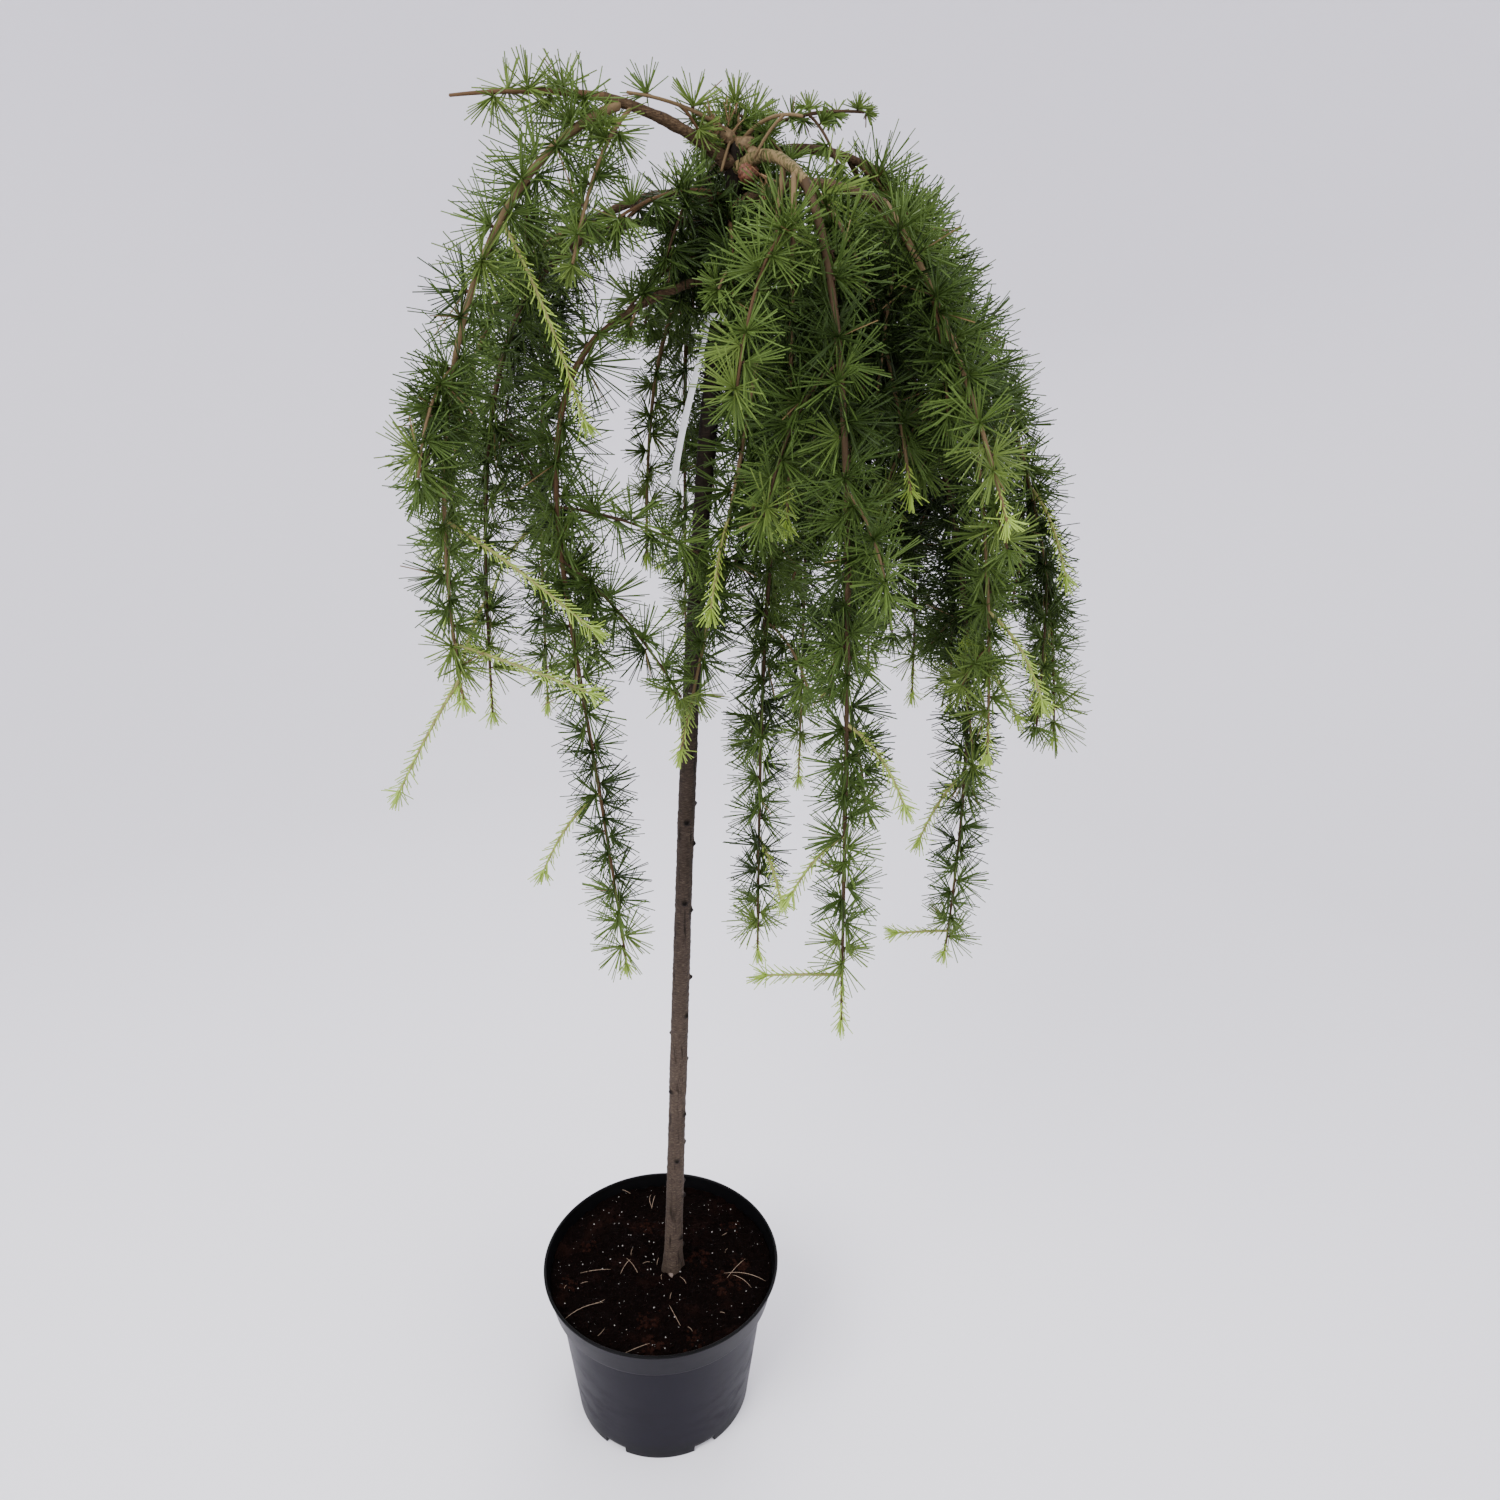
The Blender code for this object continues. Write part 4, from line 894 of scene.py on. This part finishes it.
def foot_of(carrier, limb, place):
    """Where a strand starts, and a point inside its carrier to root it in: the bough's tip for
    the first, the bough's side a little further back for each later one, or the stem."""
    if carrier in boughs:
        points, ways, foot_radius, tip_radius = boughs[carrier]
        last = len(points) - 1 - round(FOOT_SPACING * place / BOUGH_ROW)
        if place == 0:
            return points[-1], points[-3]
        centre, along = points[last], ways[last]
        set_off = direction(limb.azimuth, limb.start)
        outward = unit(set_off - along * (set_off @ along))
        return centre + outward * tip_radius, centre
    level = direction(limb.azimuth, 90)
    if carrier == "head":
        aside = 0 if limb.start > CROWN_UPRIGHT else CROWN_FOOT_RADIUS
        return top + crown * 0.0044 + level * aside, top
    centre = stem_centre(carrier)
    return centre + level * stem_radius(carrier), centre


def carried(points, distances):
    """The places at the given distances along a line of points, and the headings there."""
    marks = np.concatenate([[0], np.cumsum(np.linalg.norm(np.diff(points, axis=0), axis=1))])
    place = np.stack([np.interp(distances, marks, points[:, i]) for i in range(3)], -1)
    middles = (marks[1:] + marks[:-1]) / 2
    steps = np.diff(points, axis=0)
    return place, unit(np.stack([np.interp(distances, middles, steps[:, i]) for i in range(3)], -1))


def spiral_sides(axes, start):
    """Directions square to a line's headings, each turned by the golden angle from the last."""
    turn = np.radians(start + GOLDEN_ANGLE * np.arange(len(axes)))[:, None]
    side = square_to(axes)
    return side * np.cos(turn) + np.cross(axes, side) * np.sin(turn)


twigs = [Bundle() for _ in range(3)]
tufts, shoots, upright = [], [], []


def grow(points, ways, foot_radius, reach, end_reach, bare, tail=0.0, root_radius=0.0, shade=None):
    """One twig: a tapering tube through the points, swollen to the root's radius where it
    carries on from a bough, and the places of its tufts, spiralling from its bare foot to its
    tip, or to a tail that is left to a young shoot."""
    along = np.concatenate([[0], np.cumsum(np.linalg.norm(np.diff(points, axis=0), axis=1))])
    length = along[-1]
    radii = foot_radius + (TWIG_TIP - foot_radius) * along / length
    radii += max(root_radius - foot_radius, 0) * np.exp(-along / ROOT_TAPER)
    drawn = rng.integers(0, 3)
    twigs[drawn if shade is None else shade].add(*tube(points, ways, radii, 7 if foot_radius > SIDE_TWIG_FOOT else 5))
    room = length - bare - tail
    count = max(1, round(room / (TUFT_SPACING if foot_radius > SIDE_TWIG_FOOT else TUFT_SPACING * 1.12)))
    distances = bare + (np.arange(count) + 0.5 + rng.uniform(-0.35, 0.35, count)) * room / count
    places, axes = carried(points, distances)
    outward = unit(spiral_sides(axes, rng.uniform(0, 360)) + axes * rng.uniform(-0.15, 0.35, count)[:, None])
    part = distances / length
    reaches = (reach + (end_reach - reach) * part) * rng.uniform(0.85, 1.05, count)
    girths = np.interp(distances, along, radii)
    if not tail:
        places, outward, axes = np.vstack([places, points[-1:]]), np.vstack([outward, ways[-1:]]), np.vstack([axes, ways[-1:]])
        reaches, girths, part = np.append(reaches, end_reach * 0.85), np.append(girths, 0.0), np.append(part, 1.0)
    tufts.append((places, outward, axes, reaches, girths, part, np.full(len(part), len(tufts))))


low, high = (np.array(corner) for corner in cad_box)
taken = {}
for name, (carrier, foot_radius, limb) in MASSES.items():
    place = taken.get(carrier, 0)
    taken[carrier] = place + 1
    foot, rooted = foot_of(carrier, limb, place)
    points, ways = limb_path(foot, limb, TWIG_ROW)
    points, ways = np.vstack([rooted, points]), np.vstack([unit(foot - rooted), ways])
    long = limb.length > LONG_STRAND
    full_reach = LOW_REACHES.get(name, NEEDLE_REACH if long else SHORT_REACH)
    tail = rng.uniform(*SHOOT_TAILS) if long else BARE_TIPS.get(name, 0.0)
    tail = LONG_TAILS.get(name, tail)
    bare = BARE_FEET.get(name, BARE_FOOT)
    root_radius = boughs[carrier][3] if place == 0 and carrier in boughs else THICK_ROOTS.get(name, 0.0)
    shade = STRAND_SHADES.get(name)
    girth = foot_radius * (TWIG_GIRTH if long else 1)
    end_reach = END_REACHES.get(name, full_reach * (1 - REACH_TAPER))
    if name in UPRIGHT:
        upright.append(len(tufts))
    grow(points, ways, girth, full_reach, end_reach, bare, tail, root_radius, shade)
    if long:
        shoots.append((*carried(points, np.linspace(limb.length - tail, limb.length, 9)), TWIG_TIP))
    sides = [(part, reach, side) for strand, part, reach, side in SIDE_TWIGS if strand == name]
    share, bushy = SIDE_GROWTH.get(name, (1.0, 0.66 if long else 1.0))
    count = 0 if name in BARE_TIPS else round(limb.length * bushy * share / (0.070 if long else 0.036))
    turn = rng.uniform(0, 360)
    for i in range(count):
        part = bushy * (i + 0.6) / count
        turn += GOLDEN_ANGLE
        length = rng.uniform(0.050, 0.130) * (1 - 0.5 * part) if long else rng.uniform(0.022, 0.040)
        reach = full_reach * (1 - REACH_TAPER * part) * 0.92
        sides.append((part, reach, Limb(turn, rng.uniform(45, 80), 0.04, 8, length)))
    for part, reach, side in sides:
        root, _ = carried(points, np.array([part * limb.length]))
        path, turns = limb_path(root[0], side, TWIG_ROW)
        if ((path[-1] < low + EDGE_ROOM) | (path[-1] > high - EDGE_ROOM))[:2].any():
            path, turns = limb_path(root[0], side._replace(azimuth=side.azimuth + 180), TWIG_ROW)
        grow(path, turns, SIDE_TWIG_FOOT, reach, reach * 0.85, BARE_FOOT * 0.5)

foliage = [f"foliage_{name}" for name in MASSES]
grown = [np.concatenate(column) for column in zip(*tufts)]
shown = np.vstack([boughs["front"][0], bud_middle[None]])
away = np.linalg.norm(grown[0][:, None] - shown, axis=2)
clear = (away.min(axis=1) > BUD_ROOM) | (grown[0][:, 1] > shown[away.argmin(axis=1), 1] + 0.004)
hiding = (grown[1][:, 1] < -0.35) | (grown[1][:, 2] < -0.6)
clear &= ~(np.isin(grown[6], upright) & hiding)
places, outward, axes, reaches, girths, parts, sprays = (column[clear] for column in grown)
TWIG_COLOURS = {"brown": (0.055, 0.034, 0.017), "russet": (0.085, 0.049, 0.023), "tan": (0.135, 0.092, 0.045)}
for (name, colour), bundle in zip(TWIG_COLOURS.items(), twigs):
    finish, _, surface = new_material(f"twig_{name}", 0.75, 0.15)
    surface.inputs["Base Color"].default_value = (*colour, 1)
    bundle.piece(f"twigs_{name}", finish, "needles", foliage)


def spur_shapes(roots, ways, lengths, widths):
    """Woody pegs as closed double cones of five sides, widest under their tips."""
    turns = np.arange(5) * math.tau / 5
    across = square_to(ways)
    other = np.cross(ways, across)
    ring = across[:, None] * np.cos(turns)[:, None] + other[:, None] * np.sin(turns)[:, None]
    waist = (roots + ways * (lengths * 0.7)[:, None])[:, None] + ring * (widths / 2)[:, None, None]
    verts = np.concatenate([roots[:, None], waist, (roots + ways * lengths[:, None])[:, None]], 1)
    k = np.arange(5)
    after = (k + 1) % 5
    one = np.vstack([np.stack([0 * k, 1 + after, 1 + k], -1), np.stack([1 + k, 1 + after, 0 * k + 6], -1)])
    return verts.reshape(-1, 3), (one + 7 * np.arange(len(roots))[:, None, None]).reshape(-1, 3)


spurs = spur_shapes(places, outward, girths + SPUR_HEIGHT, girths * 0.6 + 0.0016)
finish, _, surface = new_material("spur_bark", 0.8, 0.3)
surface.inputs["Base Color"].default_value = (0.045, 0.023, 0.011, 1)
add_piece("spurs", *spurs, finish, "needles")


# The needles are soft and straight, 20 to 35 mm long, in open tufts of some forty from each
# spur. Tufts towards a strand's tip are yellow-green and the greens differ at random by tuft and
# by twig. Painted light and shade come on top: tufts that face up, that stand at a crowd's outer
# edge and that sit high on the head are paler, and crowded tufts inside are darker. A needle here
# and there has dried to straw.
NEEDLES_IN_TUFT = 33
NEEDLE_WIDTH = 0.00094
TUFT_OPENING = 82
STRAY = 0.008
CROWD_REACH = 0.065
DRY_SHARE = 0.004
# The greens run from dark to pale and are dealt out by the light rank below, so their spread is partly painted shade
# and light.
NEEDLE_COLOURS = (
    ("deepest", 0.14, (0.011, 0.020, 0.004)),
    ("deep", 0.20, (0.022, 0.040, 0.0075)),
    ("middle", 0.25, (0.038, 0.067, 0.0125)),
    ("leafy", 0.21, (0.057, 0.096, 0.019)),
    ("bright", 0.13, (0.080, 0.129, 0.026)),
    ("yellow", 0.07, (0.110, 0.163, 0.033)),
)

near = np.linalg.norm(places[:, None] - places, axis=2) < CROWD_REACH
crowding = near.sum(axis=1)
edge = np.linalg.norm(places - near @ places / crowding[:, None], axis=1) / CROWD_REACH
# The light rank has three real parts: chance by twig, chance by tuft and the young growth towards the tips. To these
# it adds painted light for upward-facing tufts, for those at a crowd's edge and for those high on the head, and
# painted shade for crowded ones.
light = 0.25 * rng.normal(size=len(tufts))[sprays] + 0.45 * rng.normal(size=len(places))
light += 0.40 * outward[:, 2] + 1.5 * np.clip(parts - 0.6, 0, 0.4)
light -= 0.55 * (crowding - crowding.mean()) / crowding.std()
light += 0.5 * (edge - edge.mean()) / edge.std()
light += 0.8 * np.clip((places[:, 2] - 1.04) / 0.08, 0, 1)
ranks = np.argsort(np.argsort(light)) / len(light)
shares = np.cumsum([share for _, share, _ in NEEDLE_COLOURS])
shade = np.minimum(np.searchsorted(shares, ranks), len(NEEDLE_COLOURS) - 1)
each = np.repeat(np.arange(len(places)), NEEDLES_IN_TUFT)
opening = np.radians(TUFT_OPENING) * rng.random(len(each)) ** 0.62
turn = rng.uniform(0, math.tau, len(each))
side = square_to(outward)[each]
side = side * np.cos(turn)[:, None] + np.cross(outward[each], side) * np.sin(turn)[:, None]
ways = unit(outward[each] * np.cos(opening)[:, None] + side * np.sin(opening)[:, None])
lengths = reaches[each] * rng.uniform(0.78, 1.04, len(each))
starts = places[each] + outward[each] * (girths[each] + SPUR_HEIGHT * 0.6)[:, None]
widths = NEEDLE_WIDTH * rng.uniform(0.85, 1.15, len(each))
bends = rng.normal(0, 0.030, len(each))
kinds = np.where(rng.random(len(each)) < DRY_SHARE, len(NEEDLE_COLOURS), shade[each])
with np.errstate(divide="ignore"):
    room = np.where(ways > 0, (high + STRAY - starts) / ways, (low - STRAY - starts) / ways).min(axis=1)
lengths = np.minimum(lengths, np.maximum(room, 0.004))
for kind, (name, _, colour) in enumerate((*NEEDLE_COLOURS, ("straw", 0, (0.15, 0.10, 0.045)))):
    chosen = kinds == kind
    finish, _, surface = new_material(f"needles_{name}", 0.52, 0.13)
    surface.inputs["Base Color"].default_value = (*colour, 1)
    shapes = needle_shapes(starts[chosen], ways[chosen], lengths[chosen], widths[chosen], bends[chosen])
    add_piece(f"needles_{name}", *shapes, finish, "needles", foliage, smooth=False)


# The young shoots are this year's growth: thin, limp and yellow-green, with single needles set
# round them and a small upright tuft at the tip. Some strands end in one, and others hang from
# their sides.
SHOOT_FOOT = 0.0014
SHOOT_TIP = 0.0008
SINGLE_SPACING = 0.0011
SINGLE_REACH = 0.0108
SINGLE_OPENING = 44
TIP_NEEDLES = 24
YOUNG_SHOOTS = (
    ("left_outer", 0.25, Limb(350, 30, 0.10, 12, 0.13)),
    ("left_outer", 0.70, Limb(350, 60, 0.30, 30, 0.12)),
    ("left_outer", 0.90, Limb(350, 75, 0.30, 60, 0.10)),
    ("left_outer", 0.96, Limb(195, 35, 0.20, 15, 0.095)),
    ("front_long", 0.93, Limb(185, 95, 0.20, 80, 0.055)),
    ("right_long", 0.96, Limb(190, 95, 0.20, 80, 0.045)),
    ("right_long", 0.52, Limb(10, 60, 0.06, 12, 0.075)),
    ("right_long", 0.70, Limb(200, 55, 0.05, 10, 0.065)),
    ("front_long", 0.60, Limb(350, 60, 0.05, 10, 0.070)),
    ("front_long", 0.74, Limb(170, 55, 0.05, 10, 0.060)),
    ("front_inner", 0.55, Limb(250, 50, 0.06, 8, 0.070)),
    ("centre_long", 0.80, Limb(300, 60, 0.05, 8, 0.055)),
    ("right_outer", 0.55, Limb(300, 60, 0.06, 10, 0.080)),
    ("right_outer", 0.78, Limb(250, 55, 0.06, 10, 0.070)),
    ("left_inner", 0.70, Limb(200, 60, 0.06, 10, 0.075)),
    ("left_hang", 0.75, Limb(240, 55, 0.05, 8, 0.070)),
    ("right_front_low", 0.72, Limb(330, 60, 0.06, 8, 0.075)),
    ("right_middle", 0.70, Limb(280, 60, 0.06, 8, 0.070)),
    ("back_hang", 0.70, Limb(120, 60, 0.06, 8, 0.075)),
    ("back_left_hang", 0.62, Limb(180, 60, 0.06, 8, 0.080)),
    ("back_left_outer", 0.75, Limb(120, 60, 0.06, 8, 0.070)),
    ("back_right_hang", 0.72, Limb(60, 60, 0.06, 8, 0.080)),
    ("back_right_outer", 0.60, Limb(20, 60, 0.06, 8, 0.075)),
    ("back_outer", 0.75, Limb(40, 60, 0.06, 8, 0.070)),
)

taken = {}
stems = {}
for name, (carrier, _, limb) in MASSES.items():
    taken[carrier] = taken.get(carrier, -1) + 1
    stems[name] = limb_path(foot_of(carrier, limb, taken[carrier])[0], limb, TWIG_ROW)[0]
for name, part, limb in YOUNG_SHOOTS:
    root, _ = carried(stems[name], np.array([part * MASSES[name][2].length]))
    path, turns = limb_path(root[0], limb, TWIG_ROW)
    shoots.append((path, turns, SHOOT_FOOT))
shoot_stems, singles = Bundle(), []
for points, ways, foot_radius in shoots:
    shoot_stems.add(*tube(points, ways, np.linspace(foot_radius, SHOOT_TIP, len(points)), 5))
    length = np.linalg.norm(np.diff(points, axis=0), axis=1).sum()
    at, along = carried(points, np.arange(0.006, length, SINGLE_SPACING))
    leans = np.radians(SINGLE_OPENING * rng.uniform(0.75, 1.15, len(at)))[:, None]
    heads = along * np.cos(leans) + spiral_sides(along, rng.uniform(0, 360)) * np.sin(leans)
    singles.append((at, heads, SINGLE_REACH * rng.uniform(0.8, 1.1, len(at)) * np.linspace(0.55, 1.12, len(at))))
    tip = ways[-1] + rng.normal(0, 0.42, (TIP_NEEDLES, 3))
    singles.append((np.repeat(points[-1:], TIP_NEEDLES, 0), unit(tip), rng.uniform(0.009, 0.016, TIP_NEEDLES)))
finish, _, surface = new_material("young_stem", 0.6, 0.35)
surface.inputs["Base Color"].default_value = (0.230, 0.215, 0.070, 1)
shoot_stems.piece("young_shoots", finish, "needles")
at, heads, lengths = (np.concatenate(column) for column in zip(*singles))
finish, _, surface = new_material("young_needles", 0.55, 0.35)
surface.inputs["Base Color"].default_value = (0.270, 0.390, 0.055, 1)
shapes = needle_shapes(at, heads, lengths, np.full(len(at), 0.0009), rng.normal(0, 0.05, len(at)))
add_piece("young_needles", *shapes, finish, "needles", smooth=False)


# The tag is a plain strip of thin white plastic, punched and threaded as its own loop round the
# stem under the head. It hangs by its own weight and has taken a slight curl.
TAG_HEIGHT = 1.036
TAG_LENGTH = 0.120
TAG_WIDTH = 0.0085
TAG_THICKNESS = 0.0006
TAG_AZIMUTH = 212
TAG_SWING = 15
TAG_CURL = 0.004
LOOP_WALL = 0.0014
LOOP_HEIGHT = 0.005


def slab_loop(middles, across, outward, width, thickness):
    """A flat band carried along its middles: at each, a rounded oblong spanned by the width
    across and the thickness outward, a circle's corners raised to a power that squares it."""
    turns = np.arange(16) * math.tau / 16
    wide = np.sign(np.cos(turns)) * np.abs(np.cos(turns)) ** 0.35
    thick = np.sign(np.sin(turns)) * np.abs(np.sin(turns)) ** 0.7
    ring = across[:, None] * (wide * width / 2)[:, None] + outward[:, None] * (thick * thickness / 2)[:, None]
    return middles[:, None] + ring


part = np.linspace(0, 1, 60)[:, None]
hanging, away = direction(TAG_AZIMUTH, TAG_SWING), direction(TAG_AZIMUTH, TAG_SWING + 90)
inner = stem_radius(TAG_HEIGHT) + STEM_GAP
start = stem_centre(TAG_HEIGHT) + direction(TAG_AZIMUTH, 90) * (inner + LOOP_WALL / 2)
middles = start + hanging * part * TAG_LENGTH + away * TAG_CURL * np.sin(math.pi * part) * part
wide = unit(np.cross(hanging, away) + away * 0.12 * (part - 0.4))
thin = unit(np.cross(wide, hanging))
narrow = np.interp(part[:, 0], [0, 0.35, 0.98, 1], [0.5, 1, 1, 0.8])
grid = slab_loop(middles, wide * narrow[:, None], -thin, TAG_WIDTH, TAG_THICKNESS)
ends = [np.broadcast_to(end, (1, 16, 3)) for end in (middles[0], middles[-1])]
tag = Bundle()
tag.add(*shell(np.concatenate([ends[0], grid, ends[1]])))
axis = stem_heading(TAG_HEIGHT)
turns = np.arange(48) * math.tau / 48
level = square_to(axis)
spokes = level * np.cos(turns)[:, None] + np.cross(axis, level) * np.sin(turns)[:, None]
hoop = stem_centre(TAG_HEIGHT) + spokes * (inner + LOOP_WALL / 2)
band = slab_loop(hoop, np.broadcast_to(axis, hoop.shape), spokes, LOOP_HEIGHT, LOOP_WALL)
k, j = np.arange(48)[:, None], np.arange(16)
a, b = k * 16 + j, k * 16 + (j + 1) % 16
c, d = (k + 1) % 48 * 16 + (j + 1) % 16, (k + 1) % 48 * 16 + j
tag.add(band.reshape(-1, 3), np.concatenate([np.stack([a, b, c], -1), np.stack([a, c, d], -1)]).reshape(-1, 3))
made, tree, surface = new_material("white_plastic", 0.38, 0.5)
cloud = speckle(tree, object_place(tree), 60, 4)
tree.links.new(blend(tree, cloud, (0.70, 0.70, 0.73), (0.86, 0.86, 0.88)), surface.inputs["Base Color"])
bumpy(tree, surface, speckle(tree, object_place(tree), 300, 2), 0.15, 0.0002)
tag.piece("tag", made, "white_plastic", ["label_strip"])


# The studio: a pale floor that curves up into a pale wall all round, open to a soft sky, with
# wide lamps in front, at one side and behind, and the camera where the photograph's was.
FLOOR_FLAT = 1.6
FLOOR_BEND = 2.2
BEND_STEPS = 40
WALL_TOP = 6.5
LAMPS = (
    ("key", (-1.5, -1.9, 2.9), 1.8, 120),
    ("fill", (2.0, -1.4, 1.8), 2.0, 30),
    ("back", (0.5, 2.2, 2.6), 1.8, 40),
)
EYE = (0.0559, -0.849, 1.0495)
PITCH = 21.9
YAW = 1.65
ROLL = 0.82
LENS = 27.05

part = (np.arange(BEND_STEPS) + 0.5) / BEND_STEPS
bend = math.pi / 2 * part * part * (3 - 2 * part)
curve = np.vstack([[(0, 0)], np.cumsum(np.column_stack([np.cos(bend), np.sin(bend)]), axis=0)])
curve = curve / curve[-1] * FLOOR_BEND + (FLOOR_FLAT, 0)
wall = [(FLOOR_FLAT + FLOOR_BEND, height) for height in np.linspace(FLOOR_BEND, WALL_TOP, 8)[1:]]
sweep = np.vstack([[(0, 0)], curve, wall]) - (0, 0.0002)
around = turned(sweep, np.arange(72) * math.tau / 72)
verts, faces = shell(around)
faces = faces[(faces < len(verts) - 72).all(axis=1)][:, ::-1]
finish, tree, surface = new_material("studio_paper", 0.8, 0.2)
tree.links.new(blend(tree, tone_of(tree), (0.93, 0.915, 0.955), (0.745, 0.725, 0.77)), surface.inputs["Base Color"])
far = np.clip(np.hypot(verts[:, 0], verts[:, 1]) / FLOOR_FLAT, 0, 1)
add_mesh("floor", verts, faces, finish, tone=far)

world = bpy.data.worlds.new("studio_sky")
world.use_nodes = True
world.node_tree.nodes["Background"].inputs["Color"].default_value = (0.86, 0.88, 0.92, 1)
world.node_tree.nodes["Background"].inputs["Strength"].default_value = 1.85
bpy.context.scene.world = world
for name, place, size, power in LAMPS:
    lamp = bpy.data.objects.new(name, bpy.data.lights.new(name, "AREA"))
    lamp.data.size = size
    lamp.data.energy = power
    lamp.location = place
    lamp.rotation_euler = (Vector((0.05, 0, 0.75)) - Vector(place)).to_track_quat("-Z", "Y").to_euler()
    bpy.context.scene.collection.objects.link(lamp)

pitch, yaw, roll = (math.radians(angle) for angle in (PITCH, YAW, ROLL))
ahead = np.array([math.sin(yaw) * math.cos(pitch), math.cos(yaw) * math.cos(pitch), -math.sin(pitch)])
level = np.array([math.cos(yaw), -math.sin(yaw), 0])
upright = np.cross(level, ahead)
right = level * math.cos(roll) + upright * math.sin(roll)
up = -level * math.sin(roll) + upright * math.cos(roll)
camera = bpy.data.objects.new("camera", bpy.data.cameras.new("camera"))
camera.data.lens = LENS
camera.data.sensor_width = 36
camera.data.clip_start = 0.01
bpy.context.scene.collection.objects.link(camera)
pose = np.eye(4)
pose[:3] = np.column_stack([right, up, -ahead, EYE])
camera.matrix_world = Matrix(pose.tolist())
bpy.context.scene.camera = camera
